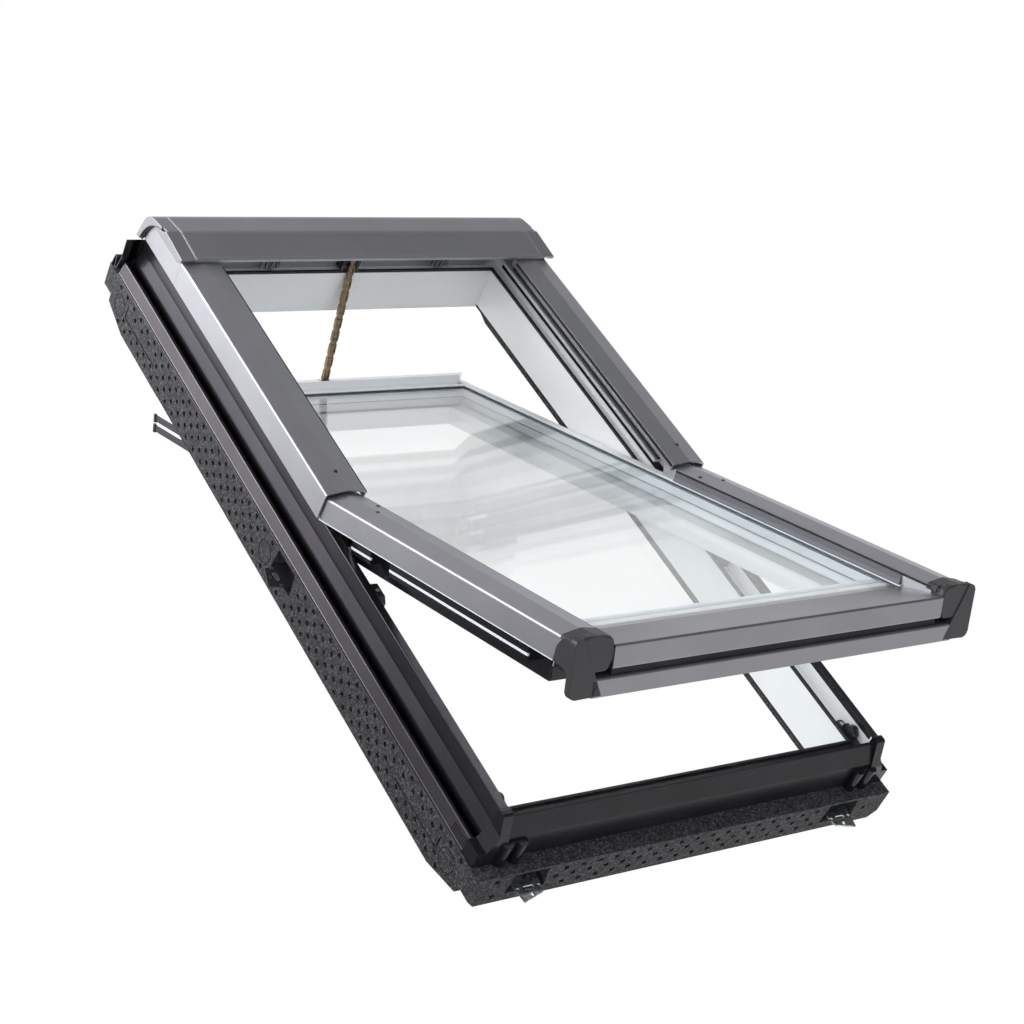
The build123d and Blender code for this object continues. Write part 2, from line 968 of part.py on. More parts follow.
outer_pane_low = rebate_level + pane_thickness + spacer_height + pane_thickness + spacer_height
outer_pane_high = outer_pane_low + pane_thickness
top_face = outline(
    (sash_top - sash_depth, sash_low),
    (sash_top, sash_low),
    (sash_top, rail_crest),
    (sash_top - rail_crest_width, rail_crest),
    (sash_top - rail_crest_width, sash_high),
    (sash_top - top_rail_wall, sash_high),
    (sash_top - top_rail_wall, rebate_level),
    (sash_top - sash_depth, rebate_level),
)
top_plan = outline(
    (-sash_inner_half, sash_top - sash_depth),
    (sash_inner_half, sash_top - sash_depth),
    (sash_half_width, sash_top),
    (-sash_half_width, sash_top),
)
top_rail = along_x(top_face, -sash_half_width, sash_half_width)
top_rail = top_rail & along_z(top_plan, sash_low, rail_crest)
fork_recess_bar = bar(
    guide_x - fork_half_width,
    guide_x + fork_half_width,
    fork_start,
    sash_top,
    fork_low,
    rail_crest,
)
moving("sash_top_rail", top_rail - fork_recess_bar)
bottom_face = outline(
    (sash_foot + sash_depth, sash_low),
    (sash_foot, sash_low),
    (sash_foot, outer_pane_low),
    (sash_foot + rebate_wall, outer_pane_low),
    (sash_foot + rebate_wall, rebate_level),
    (sash_foot + sash_depth, rebate_level),
)
bottom_plan = outline(
    (-sash_inner_half, sash_foot + sash_depth),
    (sash_inner_half, sash_foot + sash_depth),
    (sash_half_width, sash_foot),
    (-sash_half_width, sash_foot),
)
bottom_rail = along_x(bottom_face, -sash_half_width, sash_half_width)
moving("sash_bottom_rail", bottom_rail & along_z(bottom_plan, sash_low, outer_pane_low))

# Insulating glass with a stepped outer pane
glass_half = wall_inner - glass_gap
glass_top = sash_top - top_rail_wall - glass_gap
glass_foot = sash_foot + rebate_wall + glass_gap
inner_pane_high = rebate_level + pane_thickness
middle_pane_low = inner_pane_high + spacer_height
middle_pane_high = middle_pane_low + pane_thickness
moving("inner_pane", bar(-glass_half, glass_half, glass_foot, glass_top, rebate_level, inner_pane_high))
moving(
    "middle_pane",
    bar(-glass_half, glass_half, glass_foot, glass_top, middle_pane_low, middle_pane_high),
)
moving(
    "outer_pane",
    bar(-glass_half, glass_half, pane_overhang_end, glass_top, outer_pane_low, outer_pane_high),
)
for name, level in (("inner_spacer", inner_pane_high), ("outer_spacer", middle_pane_high)):
    spacer = ring(
        glass_half - spacer_inset,
        glass_foot + spacer_inset,
        glass_top - spacer_inset,
        spacer_width,
        level,
        level + spacer_height,
    )
    moving(name, spacer)
glazing = ring(
    wall_inner,
    pane_overhang_end,
    sash_top - top_rail_wall,
    glazing_width,
    outer_pane_high,
    outer_pane_high + glazing_height,
)
glazing = glazing - bar(
    -wall_inner,
    wall_inner,
    pane_overhang_end,
    bottom_cover_start + glass_gap,
    outer_pane_high,
    outer_pane_high + glazing_height,
)
moving("glazing_gasket", glazing)

# Lower covers, their screws and the moulded ends
lower_sheet = sheet(
    cover_path(cover_nest, cover_drop, lower_cover_foot, outer_pane_high + glazing_height),
    cover_bend,
    cover_sheet,
)
lower_cover = along_y(lower_sheet, lower_cover_end, cover_joint_y - lower_cover_gap)
lower_screws = [
    screw_head(lower_screw_spread, lower_screw_y, cover_drop),
    screw_head(0, lower_screw_y - lower_screw_pitch, cover_drop),
]
for screw in lower_screws:
    lower_cover = lower_cover - screw
moving_pair("lower_cover", lower_cover)
moving("lower_cover_screws", both(group(*lower_screws)))

cap_outer_face = outline(
    (cap_outer_x, cap_low),
    (cap_low_inner, cap_low),
    (cap_high_inner, cap_high),
    (cap_outer_x - cap_edge_inset, cap_high),
    (cap_outer_x, cap_high - cap_edge_drop),
)
cap_outer_block = along_y(cap_outer_face, cap_front, lower_cover_end)
cap_inner_face = outline(
    (cap_high_inner, cap_inner_low),
    (cap_high_inner, cap_inner_high),
    (cap_inner_x + cap_inner_corner, cap_inner_high),
    (cap_inner_x, cap_inner_high - cap_inner_corner),
    (cap_inner_x, cap_inner_low),
)
cap_inner_block = along_y(cap_inner_face, cap_front + cap_inner_setback, lower_cover_end)
cap_inner_block = cap_inner_block - cap_outer_block
cap_inner_edges = cap_inner_block.edges().filter_by(Axis.Y).group_by(Axis.X)[0]
cap_front_edges = cap_outer_block.faces().sort_by(Axis.Y)[0].edges()
moving_pair("cap_outer", fillet(cap_front_edges, cap_rounding))
moving("caps_inner", both(fillet(cap_inner_edges, cap_rounding)))

# Cover, carrier and apron across the lower end
bottom_path = [
    (bottom_cover_start, bottom_cover_start_level),
    (front_y, bottom_cover_level),
    (front_y, bottom_cover_foot),
    (bottom_cover_return, bottom_cover_foot),
]
bottom_sheet = sheet(bottom_path, front_bend, front_sheet)
moving("bottom_cover", along_x(bottom_sheet, -bottom_cover_half_width, bottom_cover_half_width))
moving(
    "apron_carrier",
    bar(
        -apron_carrier_half_width,
        apron_carrier_half_width,
        apron_carrier_front,
        lip_bottom_end,
        apron_top,
        bottom_cover_foot,
    ),
)
apron_path = [(bottom_cover_return, apron_top), (front_y, apron_top), (front_y, apron_low)]
apron_sheet = sheet(apron_path, front_bend, front_sheet)
moving("apron_strip", along_x(apron_sheet, -apron_half_width, apron_half_width))

# Black skin on the side of the sash, with the lip that closes on the ledge and two bright strips
lip = bar(sash_half_width, lip_outer, lip_end, lip_start, lip_low, lip_high)
notch = bar(
    sash_half_width,
    lip_outer,
    stop_start - notch_clearance,
    stop_end + notch_clearance,
    lip_low,
    ledge_level + stop_height + notch_clearance,
)
lip = lip - notch
strips = []
for level in (strip_low_level, strip_high_level):
    groove_low = level - strip_gap
    groove_high = level + strip_height + strip_gap
    groove_face = lip_outer - strip_depth
    lip = lip - bar(groove_face, lip_outer, lip_end, lip_start, groove_low, groove_high)
    strip = bar(groove_face, lip_outer, lip_end, lip_start, level, level + strip_height)
    strips.append(strip - notch)
skin = bar(
    sash_half_width,
    sash_half_width + skin_thickness,
    sash_foot,
    pivot_y - hinge_plate_radius - skin_end_gap,
    sash_low,
    lip_high,
)
moving_pair("sash_lip", lip + skin)
moving("lip_strips", both(group(*strips)))
moving(
    "bottom_lip",
    bar(
        -lip_bottom_half_width,
        lip_bottom_half_width,
        lip_bottom_end,
        sash_foot,
        lip_low,
        lip_high,
    ),
)
profiles = [
    bar(
        sash_half_width,
        sash_half_width + profile_depth,
        profile_start,
        profile_end,
        level,
        level + profile_height,
    )
    for level in (profile_low_level, profile_high_level)
]
moving("side_profiles", both(group(*profiles)))

# Pivot plates and pins on the sash
plate = along_x(
    Pos(pivot_y, pivot_z) * Circle(hinge_plate_radius),
    sash_half_width,
    sash_half_width + hinge_plate,
)
pin = along_x(
    Pos(pivot_y, pivot_z) * Circle(pin_radius), sash_half_width, hinge_outer - pin_end_gap
)
moving("sash_hinges", both(plate + pin))

# Fork let into the end of the top rail, holding the end of the chain
fork = bar(
    guide_x - fork_half_width,
    guide_x + fork_half_width,
    fork_start,
    fork_end,
    fork_low,
    fork_level,
)
fork = fork - bar(
    guide_x - fork_half_width + ear_thickness,
    guide_x + fork_half_width - ear_thickness,
    fork_start,
    fork_end,
    fork_low + fork_base,
    fork_level,
)
moving("chain_bracket", fork)

# Push chain from the drive to the fork, straight at full stroke
turn = radians(open_angle)
reach_y = fork_pin_y - pivot_y
reach_z = fork_pin_z - pivot_z
chain_end_y = pivot_y + reach_y * cos(turn) + reach_z * sin(turn)
chain_end_z = pivot_z - reach_y * sin(turn) + reach_z * cos(turn)
chain_run_y = chain_end_y - chain_start_y
chain_run_z = chain_end_z - chain_start_z
chain_length = hypot(chain_run_y, chain_run_z)
chain_pitch = chain_length / chain_pitch_count
chain_plane = Plane(
    origin=(guide_x, chain_start_y, chain_start_z),
    x_dir=(0, chain_run_y, chain_run_z),
    z_dir=(1, 0, 0),
)
link_half = chain_pitch / 2 + chain_plate_height / 2
link_waist = chain_plate_height / 2
link_tip = chain_plate_height / 4
link_face = outline(
    (-link_half, -link_tip),
    (-chain_pitch / 2, -link_waist),
    (chain_pitch / 2, -link_waist),
    (link_half, -link_tip),
    (link_half, link_tip),
    (chain_pitch / 2, link_waist),
    (-chain_pitch / 2, link_waist),
    (-link_half, link_tip),
)
links = []
for number in range(chain_pitch_count):
    side_offset = chain_outer_offset if number % 2 else chain_inner_offset
    middle = chain_pitch * number + chain_pitch / 2
    for side_sign in (-1, 1):
        centre = Pos(middle, 0, side_sign * side_offset - chain_plate / 2)
        links.append(chain_plane * (centre * extrude(link_face, amount=chain_plate)))
for number in range(chain_pitch_count + 1):
    pin_half = chain_pin_half if number else guide_half_width - guide_cheek
    centre = Pos(chain_pitch * number, 0, -pin_half)
    pin_bar = extrude(
        RegularPolygon(chain_pin_radius, chain_pin_sides), amount=pin_half + pin_half
    )
    links.append(chain_plane * (centre * pin_bar))
chain = links[0].fuse(*links[1:])
fixed("drive_chain", chain)

os.makedirs("parts", exist_ok=True)
for name, shape in parts.items():
    export_step(shape, "parts/" + name + ".step")
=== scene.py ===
import math

import bmesh
import bpy
from mathutils import Matrix, Vector


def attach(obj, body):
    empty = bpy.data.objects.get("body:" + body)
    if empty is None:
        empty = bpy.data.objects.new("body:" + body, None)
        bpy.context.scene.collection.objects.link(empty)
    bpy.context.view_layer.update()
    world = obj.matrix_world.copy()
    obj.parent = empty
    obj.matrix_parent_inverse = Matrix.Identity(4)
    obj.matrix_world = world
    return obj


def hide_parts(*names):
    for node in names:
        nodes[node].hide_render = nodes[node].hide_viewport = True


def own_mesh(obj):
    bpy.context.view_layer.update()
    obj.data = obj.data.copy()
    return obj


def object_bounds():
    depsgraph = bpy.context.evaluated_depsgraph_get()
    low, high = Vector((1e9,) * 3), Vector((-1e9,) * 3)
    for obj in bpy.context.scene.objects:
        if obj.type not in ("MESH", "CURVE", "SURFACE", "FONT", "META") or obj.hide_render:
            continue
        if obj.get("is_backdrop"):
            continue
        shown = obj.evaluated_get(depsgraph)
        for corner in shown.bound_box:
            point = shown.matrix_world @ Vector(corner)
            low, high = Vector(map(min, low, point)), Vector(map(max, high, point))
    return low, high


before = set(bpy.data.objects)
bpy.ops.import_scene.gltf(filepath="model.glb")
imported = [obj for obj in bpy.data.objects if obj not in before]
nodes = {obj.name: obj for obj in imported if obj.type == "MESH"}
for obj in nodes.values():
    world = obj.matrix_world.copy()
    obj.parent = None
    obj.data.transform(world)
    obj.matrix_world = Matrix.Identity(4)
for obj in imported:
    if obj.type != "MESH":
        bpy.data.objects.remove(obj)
cad_low, cad_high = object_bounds()

# Pieces are given in millimetres; materials, floor, lamps and camera in metres
MM = 0.001
SIDES = (-1.0, 1.0)
NAMED_SIDES = ((-1.0, "left"), (1.0, "right"))
NAMED_ENDS = ((-1.0, "bottom"), (1.0, "top"))
ALONG_X = (1, 0, 0)
ALONG_Y = (0, 1, 0)
ALONG_Z = (0, 0, 1)
TO_FRONT = (0, -1, 0)

# The sash turns about this axis and rests open by this angle
PIVOT = Vector((0.0, -78.0, 67.0))
OPEN_ANGLE = math.radians(25.3)
TO_REST = (
    Matrix.Translation(PIVOT)
    @ Matrix.Rotation(-OPEN_ANGLE, 4, "X")
    @ Matrix.Translation(-PIVOT)
)


# Node trees of the materials and the world
class Graph:
    """The node tree of a material or a world, built node by node."""

    def __init__(self, owner):
        owner.use_nodes = True
        self.tree = owner.node_tree
        self.tree.nodes.clear()

    def add(self, kind, **values):
        node = self.tree.nodes.new(kind)
        for key, value in values.items():
            setattr(node, key, value)
        return node

    def join(self, source, target):
        """Links a socket to a target, or sets the target to a plain number."""
        if isinstance(source, float):
            target.default_value = source
        else:
            self.tree.links.new(source, target)

    def compute(self, operation, *sources, clamp=False):
        node = self.add("ShaderNodeMath", operation=operation, use_clamp=clamp)
        for source, socket in zip(sources, node.inputs):
            self.join(source, socket)
        return node.outputs["Value"]

    def axis(self, coords, name):
        node = self.add("ShaderNodeSeparateXYZ")
        self.join(coords, node.inputs["Vector"])
        return node.outputs[name]

    def span(self, source, low, high, start=0.0, end=1.0):
        """A value that runs from low to high while the source runs from start to end."""
        node = self.add("ShaderNodeMapRange")
        limits = {"From Min": start, "From Max": end, "To Min": low, "To Max": high}
        for key, value in limits.items():
            node.inputs[key].default_value = value
        self.join(source, node.inputs["Value"])
        return node.outputs["Result"]

    def product(self, first, second):
        """Two colours multiplied."""
        node = self.add("ShaderNodeMix", data_type="RGBA", blend_type="MULTIPLY")
        node.inputs["Factor"].default_value = 1.0
        self.join(first, node.inputs["A"])
        self.join(second, node.inputs["B"])
        return node.outputs["Result"]

    def glow(self, kind, colour, strength=1.0):
        """A shader that gives light."""
        node = self.add(kind)
        node.inputs["Color"].default_value = (*colour, 1.0)
        self.join(strength, node.inputs["Strength"])
        return node.outputs[0]

    def blend(self, share, first, second):
        """The first shader where the share is 0, the second where it is 1."""
        node = self.add("ShaderNodeMixShader")
        self.join(share, node.inputs["Fac"])
        self.join(first, node.inputs[1])
        self.join(second, node.inputs[2])
        return node.outputs["Shader"]


class Shader(Graph):
    """A material with a principled surface, patterned in object coordinates."""

    def __init__(self, name):
        self.material = bpy.data.materials.new(name)
        super().__init__(self.material)
        self.output = self.add("ShaderNodeOutputMaterial")
        self.surface = self.add("ShaderNodeBsdfPrincipled")
        self.join(self.surface.outputs["BSDF"], self.output.inputs["Surface"])
        self.coords = self.add("ShaderNodeTexCoord").outputs["Object"]

    def set(self, **values):
        for key, value in values.items():
            self.surface.inputs[key.replace("_", " ")].default_value = value

    def paint(self, colour, rough=None):
        self.join(colour, self.surface.inputs["Base Color"])
        if rough is not None:
            self.join(rough, self.surface.inputs["Roughness"])

    def stretched(self, scale):
        mapping = self.add("ShaderNodeMapping")
        mapping.inputs["Scale"].default_value = scale
        self.join(self.coords, mapping.inputs["Vector"])
        return mapping.outputs["Vector"]

    def noise(self, scale, detail=2.0, roughness=0.5, coords=None):
        node = self.add("ShaderNodeTexNoise")
        node.inputs["Scale"].default_value = scale
        node.inputs["Detail"].default_value = detail
        node.inputs["Roughness"].default_value = roughness
        self.join(coords or self.coords, node.inputs["Vector"])
        return node.outputs["Fac"]

    def cells(self, scale, feature="F1"):
        node = self.add("ShaderNodeTexVoronoi", feature=feature)
        node.inputs["Scale"].default_value = scale
        self.join(self.coords, node.inputs["Vector"])
        return node.outputs

    def cell_tones(self, scale):
        """Three chance values for each cell, as Red, Green and Blue."""
        node = self.add("ShaderNodeSeparateColor")
        self.join(self.cells(scale)["Color"], node.inputs["Color"])
        return node.outputs

    def ramp(self, source, stops):
        node = self.add("ShaderNodeValToRGB")
        elements = node.color_ramp.elements
        while len(elements) < len(stops):
            elements.new(0.5)
        for element, (place, colour) in zip(elements, stops):
            element.position = place
            element.color = (*colour, 1.0)
        self.join(source, node.inputs["Fac"])
        return node.outputs["Color"]

    def relief(self, height, strength, distance, edge=0.0):
        """A bump, on edges that look rounded by the given radius."""
        bump = self.add("ShaderNodeBump")
        bump.inputs["Strength"].default_value = strength
        bump.inputs["Distance"].default_value = distance
        self.join(height, bump.inputs["Height"])
        if edge:
            bevel = self.add("ShaderNodeBevel", samples=4)
            bevel.inputs["Radius"].default_value = edge
            self.join(bevel.outputs["Normal"], bump.inputs["Normal"])
        self.join(bump.outputs["Normal"], self.surface.inputs["Normal"])


# Materials
LONG = (1.0, 0.06, 1.0)
ACROSS = (0.06, 1.0, 1.0)
DRIFT = {"scale": 9.0, "detail": 4.0, "roughness": 0.6}
DRIFT_STOPS = (0.3, 0.7)
GRAIN_DETAIL = 3.0
GRAIN_ROUGHNESS = 0.6
GLOSS_SWING = 0.25
GRAIN_HEIGHT = 0.0004


def tint(colour, factor):
    return tuple(min(1.0, channel * factor) for channel in colour)


def grey(value):
    return (value, value, value)


def finish(name, colour, spread, rough, grain, bump, edge=0.0, metallic=0.0, streak=None, **extra):
    """A worked surface: slow colour drift, fine grain in the gloss and a shallow relief."""
    shader = Shader(name)
    shades = (tint(colour, 1.0 - spread), tint(colour, 1.0 + spread))
    coords = shader.stretched(streak) if streak else None
    fine = shader.noise(grain, GRAIN_DETAIL, GRAIN_ROUGHNESS, coords)
    swing = rough * GLOSS_SWING
    shader.paint(
        shader.ramp(shader.noise(**DRIFT), list(zip(DRIFT_STOPS, shades))),
        shader.span(fine, rough - swing, rough + swing),
    )
    shader.relief(fine, bump, GRAIN_HEIGHT, edge)
    shader.set(Metallic=metallic, **extra)
    return shader.material


def coated(name, colour, rough, edge, metallic=0.95, **extra):
    """Lacquered aluminium sheet."""
    return finish(
        name, colour, spread=0.05, rough=rough, grain=1600.0, bump=0.05, edge=edge,
        metallic=metallic, **extra,
    )


def foam_material():
    """Beads of different greys with dark seams between them."""
    beads = 380.0
    seam_width = 0.12
    seam_shade = 0.3
    greys = [
        (0.0, (0.013, 0.013, 0.014)),
        (0.5, (0.031, 0.031, 0.033)),
        (1.0, (0.083, 0.083, 0.089)),
    ]
    shader = Shader("moulded_foam")
    tones = shader.cell_tones(beads)
    edges = shader.cells(beads, "DISTANCE_TO_EDGE")["Distance"]
    seam = shader.span(edges, seam_shade, 1.0, end=seam_width)
    shader.paint(
        shader.product(shader.ramp(tones["Red"], greys), seam),
        shader.span(tones["Green"], 0.6, 0.9),
    )
    shader.relief(seam, strength=0.5, distance=0.0008)
    return shader.material


def cladding_material():
    """Gloss sheet with painted light: painted shade darkens the bed of the gutter, and a painted
    highlight makes its bank and outer rim paler.
    """
    gutter_start = 0.355
    gutter_end = 0.385
    # Painted light on one sheet: painted shade in the bed, painted highlight on the bank and the
    # outer rim
    lit_bank = (0.115, 0.11, 0.125)
    shaded_bed = (0.016, 0.015, 0.018)
    lit_rim = (0.2, 0.185, 0.205)
    shader = Shader("brown_black_cladding")
    away = shader.compute("ABSOLUTE", shader.axis(shader.coords, "X"))
    across = shader.span(away, 0.0, 1.0, gutter_start, gutter_end)
    light_zones = shader.ramp(across, [(0.3, lit_bank), (0.42, shaded_bed), (0.78, shaded_bed), (0.9, lit_rim)])
    shades = shader.ramp(shader.noise(**DRIFT), list(zip(DRIFT_STOPS, (grey(0.8), grey(1.0)))))
    fine = shader.noise(900.0, GRAIN_DETAIL, GRAIN_ROUGHNESS, shader.stretched(LONG))
    shader.paint(shader.product(light_zones, shades), shader.span(fine, 0.17, 0.27))
    shader.relief(fine, strength=0.05, distance=GRAIN_HEIGHT, edge=0.0007)
    shader.set(Metallic=0.92)
    return shader.material


def zinc_material():
    """Bare zinc with its spangle."""
    shader = Shader("zinc_steel")
    tones = shader.cell_tones(160.0)
    shader.paint(
        shader.ramp(tones["Red"], [(0.0, (0.42, 0.44, 0.46)), (1.0, (0.66, 0.68, 0.7))]),
        shader.span(tones["Green"], 0.24, 0.42),
    )
    shader.relief(shader.noise(700.0, GRAIN_DETAIL), strength=0.15, distance=0.0003, edge=0.0005)
    shader.set(Metallic=1.0)
    return shader.material


def glass_material(name, colour):
    """Clear glass that lets lamp light through; its low index keeps reflections weak."""
    shader = Shader(name)
    ripple = shader.noise(3.0)
    shader.paint(shader.ramp(ripple, list(zip(DRIFT_STOPS, (tint(colour, 0.985), colour)))))
    shader.relief(ripple, strength=0.02, distance=0.0005)
    shader.set(Roughness=0.0, IOR=1.15, Transmission_Weight=1.0)
    clear = shader.add("ShaderNodeBsdfTransparent")
    clear.inputs["Color"].default_value = (*tint(colour, 0.98), 1.0)
    path = shader.add("ShaderNodeLightPath").outputs
    surface = shader.blend(
        path["Is Shadow Ray"], shader.surface.outputs["BSDF"], clear.outputs["BSDF"]
    )
    shader.join(surface, shader.output.inputs["Surface"])
    return shader.material


lacquer = coated("anthracite_lacquer", (0.56, 0.56, 0.6), rough=0.48, edge=0.0003)
hood_lacquer = coated("hood_lacquer", (0.48, 0.48, 0.505), rough=0.48, edge=0.008)
# Darker copies of the same anthracite lacquer, as painted shade: on the lower covers and the flutes,
# on the bottom cover and apron strip, and on the inner walls of the lower covers
shaded_lacquer = coated("shaded_lacquer", (0.49, 0.49, 0.53), rough=0.45, edge=0.0003)
front_shade_lacquer = coated("front_shade_lacquer", (0.35, 0.348, 0.37), rough=0.4, edge=0.0009)
flange_shade_lacquer = coated(
    "flange_shade_lacquer", (0.17, 0.17, 0.19), rough=0.6, edge=0.0, metallic=0.2,
    Specular_IOR_Level=0.2,
)
cap_shell = finish(
    "cap_shell", (0.42, 0.42, 0.445),
    spread=0.06, rough=0.42, grain=1900.0, bump=0.2, edge=0.0025, metallic=0.9,
)
cap_plastic = finish(
    "grained_plastic", (0.03, 0.03, 0.032),
    spread=0.1, rough=0.42, grain=1900.0, bump=0.25, edge=0.001,
)
cladding = cladding_material()
sill_black = finish(
    "sill_black", (0.012, 0.011, 0.013),
    spread=0.3, rough=0.3, grain=900.0, bump=0.05, edge=0.0007, streak=ACROSS,
    Specular_IOR_Level=0.3,
)
gloss = finish(
    "gloss_black", (0.008, 0.008, 0.01),
    spread=0.2, rough=0.14, grain=500.0, bump=0.1, edge=0.0012, Specular_IOR_Level=0.4,
)
black = finish(
    "black_fitting", (0.014, 0.014, 0.016),
    spread=0.2, rough=0.36, grain=1500.0, bump=0.2, edge=0.0008,
)
white = finish(
    "white_pvc", (0.88, 0.885, 0.89),
    spread=0.012, rough=0.33, grain=1200.0, bump=0.04, edge=0.0009, Specular_IOR_Level=0.4,
)
rubber = finish(
    "black_rubber", (0.014, 0.014, 0.015),
    spread=0.25, rough=0.62, grain=1400.0, bump=0.3, edge=0.0006,
)
panel_grey = finish(
    "grey_panel", (0.3, 0.32, 0.31),
    spread=0.08, rough=0.45, grain=1200.0, bump=0.08, edge=0.0008,
)
# Grey of the spacers; on the lip strips and the cover hems it is a painted highlight, the light
# lines along the lower covers
spacer_and_highlight_grey = finish(
    "grey_spacer", (0.78, 0.82, 0.86),
    spread=0.04, rough=0.5, grain=1200.0, bump=0.1, metallic=0.3,
)
bronze = finish(
    "bronze_steel", (0.3, 0.22, 0.13),
    spread=0.4, rough=0.32, grain=1300.0, bump=0.15, edge=0.0003, metallic=0.95,
)
# Dark steel for screws, hooks and the chain bracket; on the zinc side brackets it is a painted dark
# reflection
dark_steel_and_shaded_zinc = finish(
    "dark_steel_and_shaded_zinc", (0.1, 0.1, 0.11),
    spread=0.25, rough=0.36, grain=1100.0, bump=0.1, edge=0.0004, metallic=0.9,
)
seal_blue = finish(
    "blue_black_seal", (0.045, 0.07, 0.1),
    spread=0.2, rough=0.4, grain=1400.0, bump=0.2, edge=0.0004,
)
profile_grey = finish(
    "grey_profile", (0.07, 0.07, 0.08),
    spread=0.08, rough=0.3, grain=900.0, bump=0.06, edge=0.0005, metallic=0.7, streak=LONG,
)
foam = foam_material()
zinc = zinc_material()
outer_glass = glass_material("outer_glass", (0.985, 0.997, 0.995))
inner_glass = glass_material("inner_glass", (0.988, 0.997, 0.997))

DRESS = {
    white: "frame_left_jamb frame_right_jamb frame_head frame_sill sash_left_stile"
    " sash_right_stile sash_top_rail sash_bottom_rail",
    rubber: "frame_gasket lining_gasket glazing_gasket upper_seals apron_carrier",
    foam: "insulation_left insulation_right insulation_top insulation_bottom",
    cladding: "side_cladding_left side_cladding_right head_cladding",
    sill_black: "sill_cladding",
    gloss: "corner_piece_left corner_piece_right sash_lip_left sash_lip_right",
    hood_lacquer: "hood",
    lacquer: "upper_cover_left upper_cover_right cover_carriers",
    # The lower covers, the bottom cover and the apron strip take the darker lacquer copies: painted
    # shade
    shaded_lacquer: "lower_cover_left lower_cover_right",
    front_shade_lacquer: "bottom_cover apron_strip",
    cap_plastic: "hood_caps cap_outer_left cap_outer_right caps_inner",
    black: "frame_hinges lock_keepers stop_blocks head_catches drive_guide"
    " bottom_lip sash_hinges",
    zinc: "end_brackets",
    panel_grey: "head_panel drive_housing",
    profile_grey: "side_profiles",
    # The side brackets are the same zinc part as the end brackets; their dark steel is a painted
    # dark reflection
    dark_steel_and_shaded_zinc: "side_brackets chain_bracket cover_screws lower_cover_screws",
    bronze: "drive_chain",
    # The lip strips are painted bright: a painted highlight line under the lower covers
    spacer_and_highlight_grey: "inner_spacer outer_spacer lip_strips",
    outer_glass: "outer_pane",
    inner_glass: "middle_pane inner_pane",
}
for material, names in DRESS.items():
    for name in names.split():
        data = nodes[name].data
        data.materials.clear()
        data.materials.append(material)


# Outlines and meshes, in millimetres
STRAIGHT_LIMIT = 0.01


def rectangle(left, low, right, high):
    return [(left, low), (right, low), (right, high), (left, high)]


def box_outline(half_x, half_y):
    return rectangle(-half_x, -half_y, half_x, half_y)


def trapezoid(low_half, low, high_half, high):
    return [(-low_half, low), (low_half, low), (high_half, high), (-high_half, high)]


def rounded(points, radii, steps=5):
    """A closed outline whose corners are rounded, each by its own radius."""
    count = len(points)
    result = []
    for i in range(count):
        corner = Vector(points[i])
        before = (Vector(points[i - 1]) - corner).normalized()
        after = (Vector(points[(i + 1) % count]) - corner).normalized()
        angle = before.angle(after)
        if radii[i] == 0.0 or math.pi - angle < STRAIGHT_LIMIT:
            result.append(tuple(corner))
            continue
        reach = radii[i] / math.tan(angle / 2)
        centre = corner + (before + after).normalized() * (radii[i] / math.sin(angle / 2))
        first = corner + before * reach - centre
        last = corner + after * reach - centre
        sweep = first.angle_signed(last)
        for j in range(steps + 1):
            spoke = first.copy()
            spoke.rotate(Matrix.Rotation(-sweep * j / steps, 2))
            result.append(tuple(centre + spoke))
    return result


def frame_at(origin, x_axis, normal):
    """A matrix that sets an outline at a place, by its X axis and its normal."""
    x_axis = Vector(x_axis).normalized()
    normal = Vector(normal).normalized()
    side = normal.cross(x_axis)
    basis = Matrix((x_axis, side, normal)).transposed().to_4x4()
    return Matrix.Translation(Vector(origin)) @ basis


def slab(mesh, outline, place, depth, bevel=0.0):
    """A flat plate with an outline in its own plane, set by a matrix, thickened along its normal."""
    low = [mesh.verts.new(place @ Vector((x, y, 0.0))) for x, y in outline]
    high = [mesh.verts.new(place @ Vector((x, y, depth))) for x, y in outline]
    count = len(outline)
    faces = [mesh.faces.new(low[::-1]), mesh.faces.new(high)]
    for i in range(count):
        j = (i + 1) % count
        faces.append(mesh.faces.new((low[i], low[j], high[j], high[i])))
    if bevel:
        edges = {edge for face in faces[:2] for edge in face.edges}
        bmesh.ops.bevel(
            mesh, geom=list(edges), offset=bevel, segments=2, profile=0.5, affect="EDGES"
        )


def lathe(mesh, profile, place, steps):
    """Turns a profile of (radius, height) pairs about the local Z axis and closes both ends."""
    rings = []
    for radius, height in profile:
        ring = []
        for i in range(steps):
            turn = 2 * math.pi * i / steps
            point = Vector((radius * math.cos(turn), radius * math.sin(turn), height))
            ring.append(mesh.verts.new(place @ point))
        rings.append(ring)
    for first, second in zip(rings, rings[1:]):
        for i in range(steps):
            j = (i + 1) % steps
            mesh.faces.new((first[i], first[j], second[j], second[i]))
    mesh.faces.new(rings[0][::-1])
    mesh.faces.new(rings[-1])


def cross_section(mesh, outline, sign, start, end, bevel=0.0):
    """A bar of constant X-Z section between two Y stations, on the left or the right side."""
    place = Matrix.Translation((0.0, end, 0.0)) @ Matrix.Rotation(math.pi / 2, 4, "X")
    slab(mesh, [(sign * x, z) for x, z in outline], place, end - start, bevel)


def side_plate(mesh, outline, sign, inner, outer, bevel=0.0):
    """A plate with a Y-Z outline between two distances from the middle, on either side."""
    place = frame_at((sign * inner, 0.0, 0.0), ALONG_Y, (sign, 0, 0))
    slab(mesh, [(y, sign * z) for y, z in outline], place, outer - inner, bevel)


